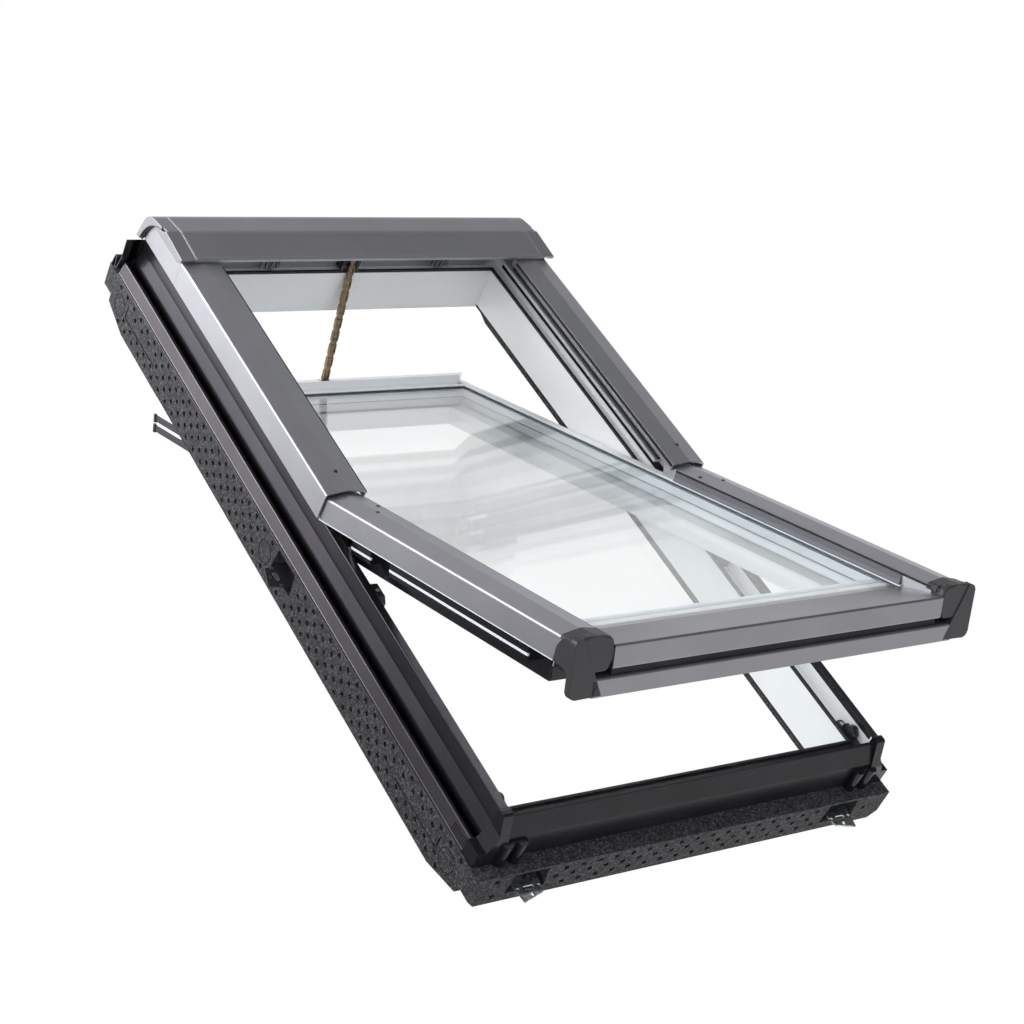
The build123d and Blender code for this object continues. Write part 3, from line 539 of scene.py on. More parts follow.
def shape(name, mesh, material, body, closed=False):
    """Makes a piece from a bmesh in millimetres; a closed piece is given as it lies when shut."""
    if closed:
        mesh.transform(TO_REST)
    mesh.transform(Matrix.Scale(MM, 4))
    bmesh.ops.recalc_face_normals(mesh, faces=mesh.faces)
    data = bpy.data.meshes.new(name)
    mesh.to_mesh(data)
    mesh.free()
    data.materials.append(material)
    piece = bpy.data.objects.new(name, data)
    bpy.context.scene.collection.objects.link(piece)
    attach(piece, body)
    return piece


# Foam blocks with rows of square dimples
DIMPLE_HALF = 3.7
DIMPLE_DEPTH = 3.5
DIMPLE_TILT = 0.35
DIMPLE_PITCH = 30.0
ROW_SHIFT = 2.0
SIDE_ROWS = (-9.0, -23.0, -37.0, -51.0, -65.0)
END_ROWS = (-12.0, -27.0, -43.0)
SIDE_FACE = 392.0
END_FACE = 680.0
SIDE_REACH = 636.0
END_REACH = 356.0

# What the dimples keep clear of: half length, lowest and highest level, and the places along
POCKET = (44.0, -60.0, 0.0)
ROUND_MARK = (27.0, -64.0, -12.0)
LONG_GROOVE = (70.0, -50.0, -34.0)
CROSS_GROOVE = (10.0, -50.0, -14.0)
SLANTED_END = (22.0, -100.0, -54.0)
SIDE_POCKET_AT = -56.0
END_POCKET_AT = 298.0
MIDDLE_MARK_AT = 4.0
END_MARK_AT = 612.0
LONG_GROOVE_AT = 520.0
CROSS_GROOVE_AT = 583.0
SLANTED_END_AT = 640.0


def dimple_places(half_length, rows, kept_clear):
    """Staggered places along a block, leaving out marks, grooves and bracket pockets."""
    places = []
    count = int(2 * half_length / DIMPLE_PITCH)
    for i in range(count + 1):
        for row, level in enumerate(rows):
            stagger = DIMPLE_PITCH / 2 if row % 2 else 0.0
            along = -half_length + DIMPLE_PITCH * i + stagger + row * ROW_SHIFT
            if abs(along) > half_length:
                continue
            if any(
                abs(along - at) < half and low < level < high
                for at, half, low, high in kept_clear
            ):
                continue
            places.append((along, level))
    return places


def dimpled(name, node, cutters):
    """A foam block cut by square pins, in place of its plain node."""
    tool = bmesh.new()
    for place in cutters:
        slab(tool, box_outline(DIMPLE_HALF, DIMPLE_HALF), place, 2 * DIMPLE_DEPTH)
    tool.transform(Matrix.Scale(MM, 4))
    bmesh.ops.recalc_face_normals(tool, faces=tool.faces)
    cutter_data = bpy.data.meshes.new("cutter")
    tool.to_mesh(cutter_data)
    tool.free()
    cutter = bpy.data.objects.new("cutter", cutter_data)
    bpy.context.scene.collection.objects.link(cutter)
    block = bpy.data.objects.new(name, nodes[node].data.copy())
    bpy.context.scene.collection.objects.link(block)
    cut = block.modifiers.new("dimples", "BOOLEAN")
    cut.operation = "DIFFERENCE"
    cut.solver = "EXACT"
    cut.object = cutter
    bpy.context.view_layer.update()
    depsgraph = bpy.context.evaluated_depsgraph_get()
    result = bpy.data.meshes.new_from_object(block.evaluated_get(depsgraph))
    block.modifiers.clear()
    block.data = result
    result.materials.clear()
    result.materials.append(foam)
    bpy.data.objects.remove(cutter)
    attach(block, "frame")
    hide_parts(node)


side_clear = [(SIDE_POCKET_AT, *POCKET), (MIDDLE_MARK_AT, *ROUND_MARK)]
end_clear = []
for sign in SIDES:
    side_clear.append((END_MARK_AT * sign, *ROUND_MARK))
    side_clear.append((LONG_GROOVE_AT * sign, *LONG_GROOVE))
    side_clear.append((CROSS_GROOVE_AT * sign, *CROSS_GROOVE))
    side_clear.append((SLANTED_END_AT * sign, *SLANTED_END))
    end_clear.append((END_POCKET_AT * sign, *POCKET))
side_out = SIDE_FACE + DIMPLE_DEPTH
end_out = END_FACE + DIMPLE_DEPTH
side_places = dimple_places(SIDE_REACH, SIDE_ROWS, side_clear)
end_places = dimple_places(END_REACH, END_ROWS, end_clear)
for sign, tail in NAMED_SIDES:
    cutters = [
        frame_at((sign * side_out, along, level), (0, 1, DIMPLE_TILT), (-sign, 0, 0))
        for along, level in side_places
    ]
    dimpled("foam_side_" + tail, "insulation_" + tail, cutters)
for sign, tail in NAMED_ENDS:
    cutters = [
        frame_at((along, sign * end_out, level), (1, 0, DIMPLE_TILT), (0, -sign, 0))
        for along, level in end_places
    ]
    dimpled("foam_end_" + tail, "insulation_" + tail, cutters)

# Push chain with waisted plates, rollers and riveted pins
CHAIN_X = 13.0
LINKS = 20
LINK_END_RADIUS = 4.5
LINK_WAIST = 3.7
LINK_ARC_HALF = 62.0
LINK_ARC_STEPS = 8
PLATE_OFFSETS = (4.7, 3.1)
PLATE_THICKNESS = 1.4
PLATE_BEVEL = 0.25
PIN_RADIUS = 2.1
PIN_HALF = 6.4
PIN_CUT = 0.4
PIN_STEPS = 12
ROLLER_RADIUS = 3.7
ROLLER_HALF = 2.9
ROLLER_CUT = 0.2
ROLLER_STEPS = 14
ROUND_EDGE = 0.3
CORE_HALF_HEIGHT = 2.6
CORE_GAP = 1.5
CORE_BEVEL = 0.5
chain_top = Vector((CHAIN_X, 580.5, 92.0))
chain_foot = TO_REST @ Vector((CHAIN_X, 568.5, 116.0))
chain_run = chain_foot - chain_top
link_pitch = chain_run.length / LINKS
chain_way = chain_run.normalized()


def link_outline():
    """Two round ends about the pins, joined by a narrower waist."""
    points = []
    for end in (1.0, -1.0):
        for i in range(LINK_ARC_STEPS + 1):
            turn = math.radians(-LINK_ARC_HALF + 2 * LINK_ARC_HALF * i / LINK_ARC_STEPS)
            x = end * (link_pitch / 2 + LINK_END_RADIUS * math.cos(turn))
            points.append((x, end * LINK_END_RADIUS * math.sin(turn)))
        points.append((0.0, end * LINK_WAIST))
    return points


def turned(mesh, middle, radius, half, cut, steps):
    """A round bar across the chain with cut edges."""
    place = frame_at(middle - Vector((half, 0.0, 0.0)), chain_way, ALONG_X)
    length = 2 * half
    profile = [
        (radius - cut, 0.0), (radius, ROUND_EDGE),
        (radius, length - ROUND_EDGE), (radius - cut, length),
    ]
    lathe(mesh, profile, place, steps)


def chain_links(mesh, first, last):
    """The plates, pins, rollers and cores of a stretch of links."""
    for i in range(first, last):
        middle = chain_top + chain_way * (link_pitch * (i + 0.5))
        for side in SIDES:
            start = middle + Vector((side * PLATE_OFFSETS[i % 2], 0.0, 0.0))
            place = frame_at(start, chain_way, (side, 0.0, 0.0))
            slab(mesh, link_outline(), place, PLATE_THICKNESS, PLATE_BEVEL)
    for i in range(first, last + 1):
        start = chain_top + chain_way * (link_pitch * i)
        turned(mesh, start, PIN_RADIUS, PIN_HALF, PIN_CUT, PIN_STEPS)
        turned(mesh, start, ROLLER_RADIUS, ROLLER_HALF, ROLLER_CUT, ROLLER_STEPS)
        if i < last:
            middle = start + chain_way * (link_pitch / 2) - Vector((ROLLER_HALF, 0.0, 0.0))
            place = frame_at(middle, chain_way, ALONG_X)
            core = box_outline(link_pitch / 2 - CORE_GAP, CORE_HALF_HEIGHT)
            slab(mesh, core, place, 2 * ROLLER_HALF, CORE_BEVEL)


chain_mesh = bmesh.new()
chain_links(chain_mesh, 0, LINKS - 1)
chain = shape("push_chain", chain_mesh, bronze, "frame")
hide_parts("drive_chain")
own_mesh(chain)
end_mesh = bmesh.new()
chain_links(end_mesh, LINKS - 1, LINKS)
shape("push_chain_end", end_mesh, bronze, "sash")

# Screw heads on the covers, and in the keepers and stops: places, radius, height
HEAD_SHARES = ((1.0, 0.0), (1.0, 0.35), (0.9, 0.75), (0.6, 1.0), (0.45, 1.0), (0.3, 0.35))
COVER_HEAD = {"radius": 3.5, "height": 1.6, "steps": 24}
KEEPER_HEAD = {"radius": 3.6, "height": 1.2, "steps": 20}
STOP_HEAD = {"radius": 3.0, "height": 1.2, "steps": 20}
UPPER_COVER_SCREW = (335.0, -12.0, 138.2)
LOWER_COVER_SCREWS = ((314.0, -141.0, 131.7), (335.0, -174.0, 134.7))
KEEPER_SCREWS = ((337.5, -622.0, 54.0), (337.5, -574.0, 54.0))
STOP_SCREW = (337.5, -205.0, 78.0)


def screw_head(mesh, sign, place, radius, height, steps):
    """A domed head with a hollow in its middle, on the left or the right side."""
    across, along, level = place
    profile = [(radius * wide, height * high) for wide, high in HEAD_SHARES]
    lathe(mesh, profile, frame_at((sign * across, along, level), ALONG_X, ALONG_Z), steps)


upper_screws = bmesh.new()
lower_screws = bmesh.new()
fitting_screws = bmesh.new()
for sign in SIDES:
    screw_head(upper_screws, sign, UPPER_COVER_SCREW, **COVER_HEAD)
    for place in LOWER_COVER_SCREWS:
        screw_head(lower_screws, sign, place, **COVER_HEAD)
    for place in KEEPER_SCREWS:
        screw_head(fitting_screws, sign, place, **KEEPER_HEAD)
    screw_head(fitting_screws, sign, STOP_SCREW, **STOP_HEAD)
piece = shape("cover_screw_heads", upper_screws, dark_steel_and_shaded_zinc, "frame")
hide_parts("cover_screws")
piece = shape("lower_cover_screw_heads", lower_screws, dark_steel_and_shaded_zinc, "sash", True)
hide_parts("lower_cover_screws")
shape("fitting_screws", fitting_screws, zinc, "frame")

# Row of small ribs at the lower end of each side flange
RIB_COUNT = 8
RIB_PITCH = 4.4
FIRST_RIB = -590.0
FLANGE_FOOT = (388.6, 0.5)
FLANGE_HEAD = (384.2, 21.0)
RIB_OUTLINE = box_outline(8.0, 1.1)
RIB_HEIGHT = 1.0
RIB_BEVEL = 0.35
ribs = bmesh.new()
for sign in SIDES:
    foot, head = (Vector((sign * x, 0.0, z)) for x, z in (FLANGE_FOOT, FLANGE_HEAD))
    way = head - foot
    outward = Vector((sign * way.z, 0.0, -sign * way.x))
    for i in range(RIB_COUNT):
        start = foot + Vector((0.0, FIRST_RIB - RIB_PITCH * i, 0.0))
        slab(ribs, RIB_OUTLINE, frame_at(start + way / 2, way, outward), RIB_HEIGHT, RIB_BEVEL)
shape("flange_ribs", ribs, gloss, "frame")

# Catch hooks under the hood: groups of four on a base, the middle ones longer
HOOK_GROUPS = (-148.0, 205.0)
HOOKS_IN_GROUP = 4
HOOK_PITCH = 10.0
HOOK_FACE = 584.0
HOOK_LEVEL = 66.0
HOOK_DROP = 10.0
HOOK_DROP_STEP = 3.0
HOOK_TIP_HALF = 3.6
HOOK_ROOT_HALF = 2.6
HOOK_ROOT = 10.0
HOOK_THICKNESS = 3.0
HOOK_BEVEL = 0.7
HOOK_BASE = trapezoid(22.0, -5.0, 28.0, 10.0)
BASE_LEVEL = 78.0
BASE_THICKNESS = 2.0
BASE_BEVEL = 0.6
hooks = bmesh.new()
for centre in HOOK_GROUPS:
    for i in range(HOOKS_IN_GROUP):
        step = i - (HOOKS_IN_GROUP - 1) / 2
        spot = frame_at((centre + step * HOOK_PITCH, HOOK_FACE, HOOK_LEVEL), ALONG_X, TO_FRONT)
        drop = HOOK_DROP - HOOK_DROP_STEP * abs(step)
        hook = trapezoid(HOOK_TIP_HALF, -drop, HOOK_ROOT_HALF, HOOK_ROOT)
        slab(hooks, hook, spot, HOOK_THICKNESS, HOOK_BEVEL)
    spot = frame_at((centre, HOOK_FACE, BASE_LEVEL), ALONG_X, TO_FRONT)
    slab(hooks, HOOK_BASE, spot, BASE_THICKNESS, BASE_BEVEL)
shape("catch_hooks", hooks, dark_steel_and_shaded_zinc, "frame")

# Lining seal: black along the sides and the sill, white along the head
SEAL_LOW = -34.0
SEAL_DEPTH = 5.0
SEAL_WIDTH = 6.0
JAMB_INNER = 325.0
HEAD_INNER = 578.0
SILL_INNER = -607.0
lining = bmesh.new()
inner = rectangle(-JAMB_INNER, SILL_INNER, JAMB_INNER, HEAD_INNER)
outer = [
    (x + math.copysign(SEAL_WIDTH, x), y + math.copysign(SEAL_WIDTH, y)) for x, y in inner
]
for i in range(len(inner)):
    j = (i + 1) % len(inner)
    place = Matrix.Translation((0.0, 0.0, SEAL_LOW))
    slab(lining, [inner[i], outer[i], outer[j], inner[j]], place, SEAL_DEPTH)
for face in lining.faces:
    at_head = face.calc_center_median().y > HEAD_INNER - SEAL_WIDTH / 2
    face.material_index = 1 if at_head else 0
piece = shape("lining_seal", lining, rubber, "frame")
piece.data.materials.append(white)
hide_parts("lining_gasket")

# Glazing bead: a white bead and a thin dark seal against the glass
GLASS_TOP = 108.0
WALL_INNER = 308.0
BEAD_TOP = 538.0
BEAD_FOOT = -621.0
BEAD_WIDTH = 10.0
BEAD_LEVEL = 111.5
SEAL_REACH = 13.2
SEAL_LEVEL = 110.2


def bead(mesh, near, far, level):
    """Three mitred bars round the sides and the top of the glass, between two insets."""
    near_x, near_y = WALL_INNER - near, BEAD_TOP - near
    far_x, far_y = WALL_INNER - far, BEAD_TOP - far
    side = [(near_x, BEAD_FOOT), (near_x, near_y), (far_x, far_y), (far_x, BEAD_FOOT)]
    paths = [[(sign * x, y) for x, y in side] for sign in SIDES]
    paths.append([(-near_x, near_y), (-far_x, far_y), (far_x, far_y), (near_x, near_y)])
    for path in paths:
        slab(mesh, path, Matrix.Translation((0.0, 0.0, GLASS_TOP)), level - GLASS_TOP)


white_bead = bmesh.new()
bead(white_bead, 0.0, BEAD_WIDTH, BEAD_LEVEL)
piece = shape("glazing_bead", white_bead, white, "sash", True)
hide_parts("glazing_gasket")
thin_seal = bmesh.new()
bead(thin_seal, BEAD_WIDTH, SEAL_REACH, SEAL_LEVEL)
shape("glazing_seal", thin_seal, seal_blue, "sash", True)

# Side profiles on the upper half of the sash: two rounded bars with dark ends
STILE_SIDE = 320.0
BAR_START = -30.0
BAR_END = 565.0
BAR_LEVELS = (46.0, 64.0)
BAR_HEIGHT = 12.0
BAR_FACE = STILE_SIDE + 2.0
BAR_SHOULDER = STILE_SIDE + 1.4
BAR_SLOPE = 2.0
BAR_CAP_FACE = STILE_SIDE + 3.5
BAR_CAP_MARGIN = 1.5
BAR_CAP_LENGTH = 6.5
BAR_CAP_BEVEL = 0.6
bars = bmesh.new()
bar_ends = bmesh.new()
for sign in SIDES:
    for low in BAR_LEVELS:
        high = low + BAR_HEIGHT
        section = [
            (STILE_SIDE, low), (BAR_SHOULDER, low), (BAR_FACE, low + BAR_SLOPE),
            (BAR_FACE, high - BAR_SLOPE), (BAR_SHOULDER, high), (STILE_SIDE, high),
        ]
        cross_section(bars, section, sign, BAR_START, BAR_END)
        section = rectangle(STILE_SIDE, low - BAR_CAP_MARGIN, BAR_CAP_FACE, high + BAR_CAP_MARGIN)
        cross_section(bar_ends, section, sign, BAR_END, BAR_END + BAR_CAP_LENGTH, BAR_CAP_BEVEL)
piece = shape("side_bars", bars, profile_grey, "sash", True)
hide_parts("side_profiles")
shape("side_bar_ends", bar_ends, black, "sash", True)

# Along the covers: edge seals, flutes below the upper ones, inner walls and hems of the lower ones;
# the hems are bright grey, a painted highlight
UPPER_RUN = (-54.0, 494.0)
LOWER_RUN = (-676.0, -92.0)
FOOT_RUN = (-618.0, -92.0)
HEM_RUN = (-656.0, -64.0)
UPPER_EDGE = [(298.2, 129.8), (300.0, 129.8), (300.0, 133.4), (298.2, 132.4)]
LOWER_EDGE = [(302.7, 126.5), (304.0, 126.5), (304.0, 129.9), (302.7, 129.2)]
LOWER_FOOT = [
    (299.0, 111.6), (304.0, 111.6), (304.0, 126.4), (302.6, 126.4),
    (302.6, 122.4), (301.4, 121.6), (301.4, 117.6), (299.0, 112.6),
]
HEM_HIGHLIGHT = rectangle(364.8, 90.9, 366.0, 92.4)
FLUTE = [(298.8, 0.6), (300.0, 0.0), (300.0, 3.2), (298.8, 2.6)]
FLUTE_LEVELS = (121.5, 125.6)
upper_edges = bmesh.new()
lower_edges = bmesh.new()
lower_feet = bmesh.new()
hem_highlights = bmesh.new()
flutes = bmesh.new()
for sign in SIDES:
    cross_section(upper_edges, UPPER_EDGE, sign, *UPPER_RUN)
    cross_section(lower_edges, LOWER_EDGE, sign, *LOWER_RUN)
    cross_section(lower_feet, LOWER_FOOT, sign, *FOOT_RUN)
    cross_section(hem_highlights, HEM_HIGHLIGHT, sign, *HEM_RUN)
    for level in FLUTE_LEVELS:
        cross_section(flutes, [(x, level + z) for x, z in FLUTE], sign, *UPPER_RUN)
shape("upper_edge_seals", upper_edges, rubber, "frame")
shape("lower_edge_seals", lower_edges, rubber, "sash", True)
# The inner walls of the lower covers take a darker, duller copy of the lacquer: painted shade
shape("lower_cover_feet", lower_feet, flange_shade_lacquer, "sash", True)
# Bright hems under the lower covers' edges: painted highlight
shape("lower_cover_hems", hem_highlights, spacer_and_highlight_grey, "sash", True)
# The flutes take the darker lacquer copy: painted shade
shape("cover_flutes", flutes, shaded_lacquer, "frame")

# Black facings, partly dark parts and partly painted shade on the white PVC: inside the upstand, on
# the sill ledge, and along the side and foot of the lower sash
UPSTAND_FACE = (344.1, 345.0)
UPSTAND_TOP = 79.0
LOWER_UPSTAND = (72.0, -625.0, -85.0)
UPPER_UPSTAND = (60.0, -85.0, 576.0)
SKIRT_TAIL = rounded(rectangle(323.2, 77.5, 342.0, 92.0), (0, 6, 6, 0))
SKIRT_TAIL_RUN = (-691.5, -575.5)
SKIRT_SHADE = rectangle(320.05, 93.2, 321.2, 101.0)
SKIRT_SHADE_RUN = (-602.0, -98.0)
SKIRT_FOOT = rectangle(-STILE_SIDE, 35.5, STILE_SIDE, 55.9)
SKIRT_FOOT_FACE = -602.05
SKIRT_FOOT_THICKNESS = 1.2
LEDGE = rectangle(-330.0, -631.4, 330.0, -611.2)
LEDGE_LEVEL = 50.05
LEDGE_THICKNESS = 0.9
black_and_shade_facing = bmesh.new()
skirt = bmesh.new()
near, far = UPSTAND_FACE
for sign in SIDES:
    for low, start, end in (LOWER_UPSTAND, UPPER_UPSTAND):
        cross_section(black_and_shade_facing, rectangle(near, low, far, UPSTAND_TOP), sign, start, end)
    cross_section(skirt, SKIRT_TAIL, sign, *SKIRT_TAIL_RUN)
    cross_section(skirt, SKIRT_SHADE, sign, *SKIRT_SHADE_RUN)
slab(black_and_shade_facing, LEDGE, Matrix.Translation((0.0, 0.0, LEDGE_LEVEL)), LEDGE_THICKNESS)
spot = frame_at((0.0, SKIRT_FOOT_FACE, 0.0), ALONG_X, TO_FRONT)
slab(skirt, SKIRT_FOOT, spot, SKIRT_FOOT_THICKNESS)
shape("upstand_facing", black_and_shade_facing, sill_black, "frame")
shape("sash_skirt", skirt, black, "sash", True)

# Keepers at the foot of the jambs: a plate, a lever and a small stop behind it
KEEPER_PLATE = rounded(rectangle(331.0, -630.0, 344.0, -566.0), (3, 3, 3, 3))
KEEPER_LEVEL = 50.0
KEEPER_THICKNESS = 4.0
LEVER = rounded(
    [(-608.0, 54.0), (-584.0, 54.0), (-587.0, 66.0), (-597.0, 72.0), (-608.0, 62.0)],
    (0, 0, 4, 4, 3),
)
LEVER_SIDES = (332.5, 342.5)
LEVER_BEVEL = 1.4
KEEPER_STOP = rounded(
    [(-584.0, 54.0), (-578.5, 54.0), (-578.5, 60.0), (-584.0, 63.0)], (0, 0, 2, 2)
)
KEEPER_STOP_SIDES = (335.0, 343.0)
KEEPER_BEVEL = 0.8
keepers = bmesh.new()
for sign in SIDES:
    plate = [(sign * x, y) for x, y in KEEPER_PLATE]
    spot = Matrix.Translation((0.0, 0.0, KEEPER_LEVEL))
    slab(keepers, plate, spot, KEEPER_THICKNESS, KEEPER_BEVEL)
    side_plate(keepers, LEVER, sign, *LEVER_SIDES, LEVER_BEVEL)
    side_plate(keepers, KEEPER_STOP, sign, *KEEPER_STOP_SIDES, KEEPER_BEVEL)
piece = shape("lock_keeper_levers", keepers, black, "frame")
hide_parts("lock_keepers")

# Hood end caps: a curved band over a side face that lets the cover run up beneath it
HOOD_END = 352.0
CAP_END = 378.0
CAP_THICKNESS = 3.0
CAP_CLEARANCE = 0.1
CAP_BEVEL = 0.8
CAP_LOW = 82.5
GAP_SIDES = (372.0, 374.8)
COVER_RUN_SIDES = (368.0, 370.0)
BAND_INSET = (2.6, 2.4)
FRONT_LIMIT = 566.0
ARCH_LIMIT = 583.0
HOOD_FRONT = 495.0
HOOD_ROUNDING = 36.0
HOOD_STEPS = 7
BACK_HEAD = (633.0, 139.0)
BACK_FOOT = (657.0, 64.0)
hood_line = rounded(
    [
        (HOOD_FRONT, 141.5), (HOOD_FRONT, 146.5), (565.0, 151.0),
        BACK_HEAD, BACK_FOOT, (560.0, 64.0),
    ],
    (0, 0, HOOD_ROUNDING, HOOD_ROUNDING, 0, 0), HOOD_STEPS,
)
outer_line = [point for point in hood_line if point[1] > CAP_LOW][1:]
foot_share = (BACK_HEAD[1] - CAP_LOW) / (BACK_HEAD[1] - BACK_FOOT[1])
outer_line.append((BACK_HEAD[0] + (BACK_FOOT[0] - BACK_HEAD[0]) * foot_share, CAP_LOW))
inner_line = [(y - BAND_INSET[0], z - BAND_INSET[1]) for y, z in reversed(outer_line[1:])]
under_line = [
    (640.0, CAP_LOW), (634.0, 102.0), (624.0, 118.0), (611.0, 130.0), (596.0, 138.0), (580.0, 143.5),
]
band = outer_line + inner_line + [(HOOD_FRONT, 143.5)]
arch = [(582.0, 148.0)] + [point for point in outer_line if point[0] > ARCH_LIMIT] + under_line
front = [point for point in outer_line if point[0] < FRONT_LIMIT] + [
    (574.0, 144.0), (590.0, 139.0), (604.0, 132.9), (507.0, 132.9), (HOOD_FRONT, 141.5),
]
# Black plate in the gap along the underside of the cap's arch: painted shade
gap_shade_plate = [
    (643.0, 83.0), (637.0, 103.0), (627.0, 119.5), (613.0, 132.0), (597.0, 140.0), (578.0, 147.0),
    (571.0, 145.5), (588.0, 138.5), (604.0, 131.5), (617.0, 123.5), (629.0, 104.0), (635.5, 83.0),
]
cover_run = [
    (506.5, 85.5), (640.0, 85.5), (634.0, 102.0), (624.0, 118.0), (611.0, 130.0), (606.0, 132.5),
    (506.5, 132.5),
]
caps = bmesh.new()
cap_gap_shades = bmesh.new()
cover_runs = bmesh.new()
cap_inner = CAP_END - CAP_THICKNESS
for sign in SIDES:
    side_plate(caps, band, sign, HOOD_END + CAP_CLEARANCE, cap_inner)
    side_plate(caps, arch, sign, cap_inner, CAP_END, CAP_BEVEL)
    side_plate(caps, front, sign, cap_inner, CAP_END, CAP_BEVEL)
    side_plate(cap_gap_shades, gap_shade_plate, sign, *GAP_SIDES)
    side_plate(cover_runs, cover_run, sign, *COVER_RUN_SIDES)
piece = shape("hood_end_caps", caps, cap_shell, "frame")
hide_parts("hood_caps")
# The black gap plates are painted shade under the cap arches
shape("hood_cap_gaps", cap_gap_shades, black, "frame")
shape("cover_runs", cover_runs, lacquer, "frame")

# Moulded end caps: they wrap the ends of the lower covers, an outer plate beside a round inner block
PLATE_FRONT = -704.0
PLATE_BACK = -692.0
PLATE_EDGE = 1.2
BLOCK_FRONT = -702.5
BLOCK_BACK = -688.0
BLOCK_EDGE = 3.0
WING_SIDES = (366.1, 368.4)
WING_EDGE = 0.9
WRAP_END = -668.0
COVER_END = -678.0
front_plate = rounded(
    [(369.0, 53.0), (315.0, 53.0), (330.0, 82.0), (345.5, 114.0), (356.0, 137.6), (369.0, 133.0)],
    (9.0, 0.0, 0.0, 0.0, 3.0, 8.0),
)
inner_block = [
    (337.0, 86.0), (313.5, 86.5), (309.0, 90.0), (305.6, 97.0), (303.8, 106.0), (303.2, 115.0),
    (303.8, 123.5), (306.0, 130.0), (310.5, 134.4), (320.0, 137.0), (335.0, 138.2), (350.0, 137.2),
    (360.0, 134.6),
]
inner_wrap = [
    (302.8, 124.0), (303.1, 128.5), (305.4, 131.8), (309.0, 133.6), (335.0, 137.4), (349.0, 134.8),
    (349.0, 133.0), (335.0, 135.9), (309.0, 132.0), (306.0, 130.7), (304.1, 128.0), (304.1, 124.0),
]
outer_wrap = [
    (345.0, 134.0), (350.0, 132.9), (363.2, 130.2), (365.6, 128.7), (366.3, 126.6), (367.6, 126.6),
    (366.6, 129.8), (364.0, 131.7), (350.0, 134.7), (345.0, 135.7),
]
plug = [
    (366.0, 92.5), (366.0, 126.4), (365.2, 128.2), (363.0, 129.6), (335.0, 135.4), (308.0, 131.2),
    (305.0, 129.8), (304.2, 127.0), (304.2, 111.5), (312.0, 111.5), (320.0, 92.5),
]
wing = rounded(
    [
        (-700.0, 131.0), (-676.0, 131.0), (-664.0, 115.0), (-658.5, 92.6), (-684.0, 91.0),
        (-692.0, 84.0), (-693.0, 60.0), (-700.0, 60.0),
    ],
    (0.0, 6.0, 14.0, 3.0, 10.0, 10.0, 0.0, 0.0),
)
inner_caps = bmesh.new()
for sign, tail in NAMED_SIDES:
    cap = bmesh.new()
    cross_section(cap, front_plate, sign, PLATE_FRONT, PLATE_BACK, PLATE_EDGE)
    side_plate(cap, wing, sign, *WING_SIDES, WING_EDGE)
    cross_section(cap, outer_wrap, sign, PLATE_BACK, WRAP_END)
    cross_section(cap, plug, sign, PLATE_BACK, COVER_END)
    piece = shape("end_cap_" + tail, cap, cap_plastic, "sash", True)
    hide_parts("cap_outer_" + tail)
    cross_section(inner_caps, inner_block, sign, BLOCK_FRONT, BLOCK_BACK, BLOCK_EDGE)
    cross_section(inner_caps, inner_wrap, sign, BLOCK_BACK, WRAP_END)
piece = shape("inner_end_caps", inner_caps, cap_plastic, "sash", True)
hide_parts("caps_inner")

# Floor: plain white to the camera and through the glass; in reflections it fades to the front left
WHITE = (1.0, 1.0, 1.0)
FLOOR_RADIUS = 6.0
FLOOR_STEPS = 96
FLOOR_DROP = 0.12
FLOOR_GREY = 0.9
FLOOR_GLOW = 0.98
FADE_LOW = 0.12
FADES = (("X", -0.55, 0.1), ("Y", 0.0, 0.95))
floor_mesh = bmesh.new()
bmesh.ops.create_circle(floor_mesh, cap_ends=True, segments=FLOOR_STEPS, radius=FLOOR_RADIUS)
floor_data = bpy.data.meshes.new("floor")
floor_mesh.to_mesh(floor_data)
floor_mesh.free()
floor = bpy.data.objects.new("floor", floor_data)
floor.location = (0.0, 0.0, cad_low.z - FLOOR_DROP)
bpy.context.scene.collection.objects.link(floor)
floor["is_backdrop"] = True
paper = bpy.data.materials.new("floor_paper")
graph = Graph(paper)
path = graph.add("ShaderNodeLightPath").outputs
coords = graph.add("ShaderNodeTexCoord").outputs["Object"]
fades = [graph.span(graph.axis(coords, axis), FADE_LOW, 1.0, *run) for axis, *run in FADES]
mirrored = graph.compute("SUBTRACT", path["Is Glossy Ray"], path["Is Transmission Ray"], clamp=True)
plain = graph.glow("ShaderNodeEmission", WHITE)
faded = graph.glow("ShaderNodeEmission", WHITE, graph.compute("MAXIMUM", *fades))
diffuse = graph.add("ShaderNodeBsdfDiffuse")
diffuse.inputs["Color"].default_value = (*grey(FLOOR_GREY), 1.0)
direct = graph.compute("MAXIMUM", path["Is Camera Ray"], path["Is Glossy Ray"])
seen = graph.compute("MAXIMUM", direct, path["Is Transmission Ray"])
surface = graph.blend(
    graph.compute("MULTIPLY", seen, FLOOR_GLOW),
    diffuse.outputs["BSDF"],
    graph.blend(mirrored, plain, faded),
)
graph.join(surface, graph.add("ShaderNodeOutputMaterial").inputs["Surface"])
floor_data.materials.append(paper)

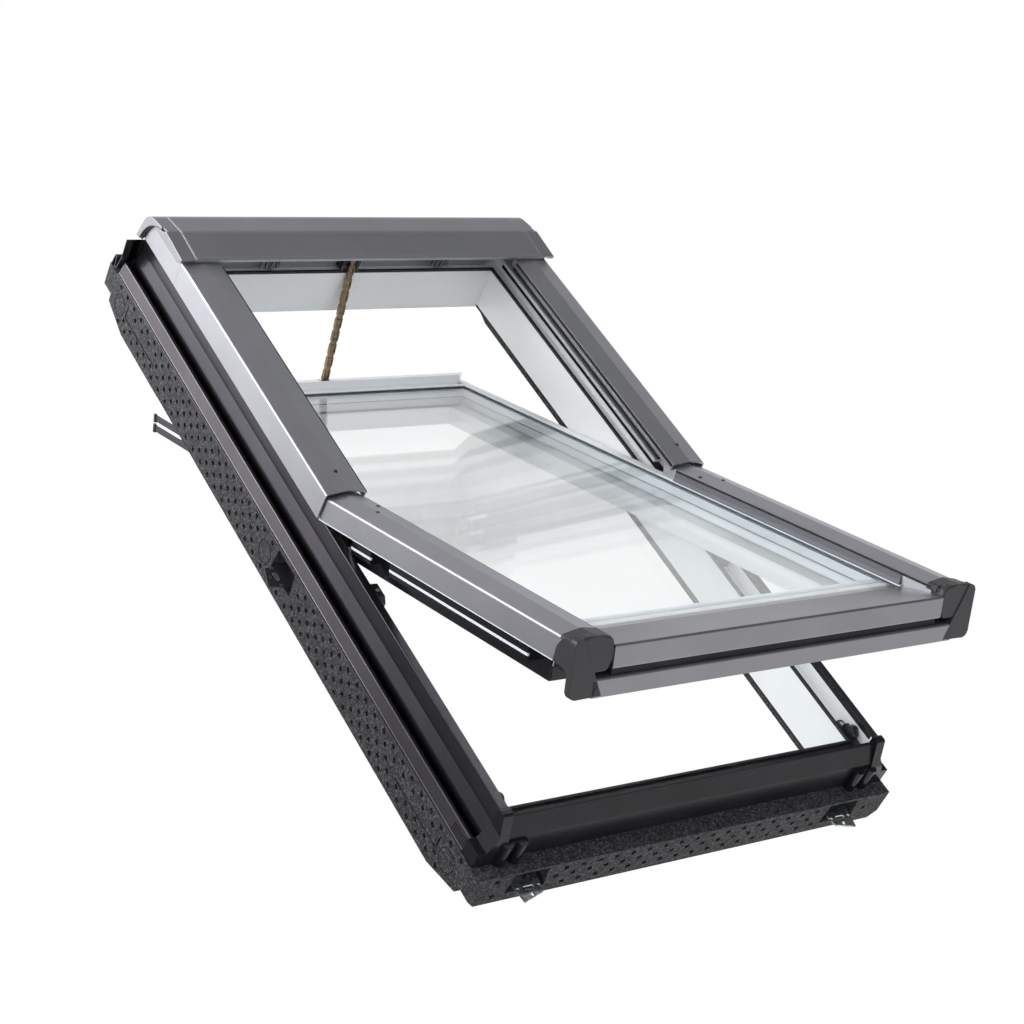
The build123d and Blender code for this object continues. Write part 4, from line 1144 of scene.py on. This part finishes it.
# World: white to the camera, a soft light, and in reflections a sky that darkens upward
SKY_COLOUR = (0.94, 0.97, 1.0)
SKY_STRENGTH = 1.12
SHINE_GREY = 0.8
HORIZON = 0.02
SKY_DARK_FROM = 0.4
SKY_DARK = 0.145
world = bpy.data.worlds.new("studio")
bpy.context.scene.world = world
graph = Graph(world)
path = graph.add("ShaderNodeLightPath").outputs
height = graph.axis(graph.add("ShaderNodeTexCoord").outputs["Generated"], "Z")
darkening = graph.span(height, 1.0, SKY_DARK, HORIZON, SKY_DARK_FROM)
soft = graph.glow("ShaderNodeBackground", SKY_COLOUR, SKY_STRENGTH)
shine = graph.glow("ShaderNodeBackground", grey(SHINE_GREY), darkening)
backdrop = graph.glow("ShaderNodeBackground", WHITE)
sky = graph.blend(
    graph.compute("MAXIMUM", path["Is Camera Ray"], path["Is Transmission Ray"]),
    graph.blend(path["Is Glossy Ray"], soft, shine),
    backdrop,
)
graph.join(sky, graph.add("ShaderNodeOutputWorld").inputs["Surface"])


# Lamps
def lamp(name, place, target, size, power, colour):
    """A rectangular lamp that faces its target."""
    data = bpy.data.lights.new(name, "AREA")
    data.shape = "RECTANGLE"
    data.size, data.size_y = size
    data.energy = power
    data.color = colour
    light = bpy.data.objects.new(name, data)
    light.location = place
    way = Vector(target) - Vector(place)
    light.rotation_euler = way.to_track_quat("-Z", "Y").to_euler()
    bpy.context.scene.collection.objects.link(light)


MIDDLE = (0.0, 0.0, 0.0)
HEAD_CORNER = (-0.37, 0.55, 0.0)
lamp("key_left", (-3.2, 0.3, 1.5), MIDDLE, size=(2.4, 2.0), power=20.0, colour=(1.0, 0.99, 1.0))
lamp(
    "back_left", (-1.5, 1.4, 0.35), HEAD_CORNER, size=(1.6, 1.2), power=26.0,
    colour=(0.98, 0.98, 1.0),
)
lamp("top_soft", (-0.4, -0.9, 3.3), MIDDLE, size=(2.6, 2.6), power=5.0, colour=WHITE)

# Camera
CAMERA_PLACE = Vector((-1.97638, -1.96958, 2.0543))
CAMERA_RIGHT = Vector((0.809589, -0.470306, 0.351252))
CAMERA_DOWN = Vector((-0.080444, -0.681634, -0.727257))
CAMERA_AHEAD = Vector((0.581458, 0.560524, -0.589677))
SENSOR = 36.0
LENS = 74.558
SHIFT_UP = 0.00789
FAR_LIMIT = 60.0
camera_data = bpy.data.cameras.new("camera")
camera_data.sensor_width = SENSOR
camera_data.lens = LENS
camera_data.shift_y = SHIFT_UP
camera_data.clip_end = FAR_LIMIT
camera = bpy.data.objects.new("camera", camera_data)
turn = Matrix((CAMERA_RIGHT, -CAMERA_DOWN, -CAMERA_AHEAD)).transposed().to_4x4()
camera.matrix_world = Matrix.Translation(CAMERA_PLACE) @ turn
bpy.context.scene.collection.objects.link(camera)
bpy.context.scene.camera = camera
bpy.context.scene.view_settings.view_transform = "Standard"

low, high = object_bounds()
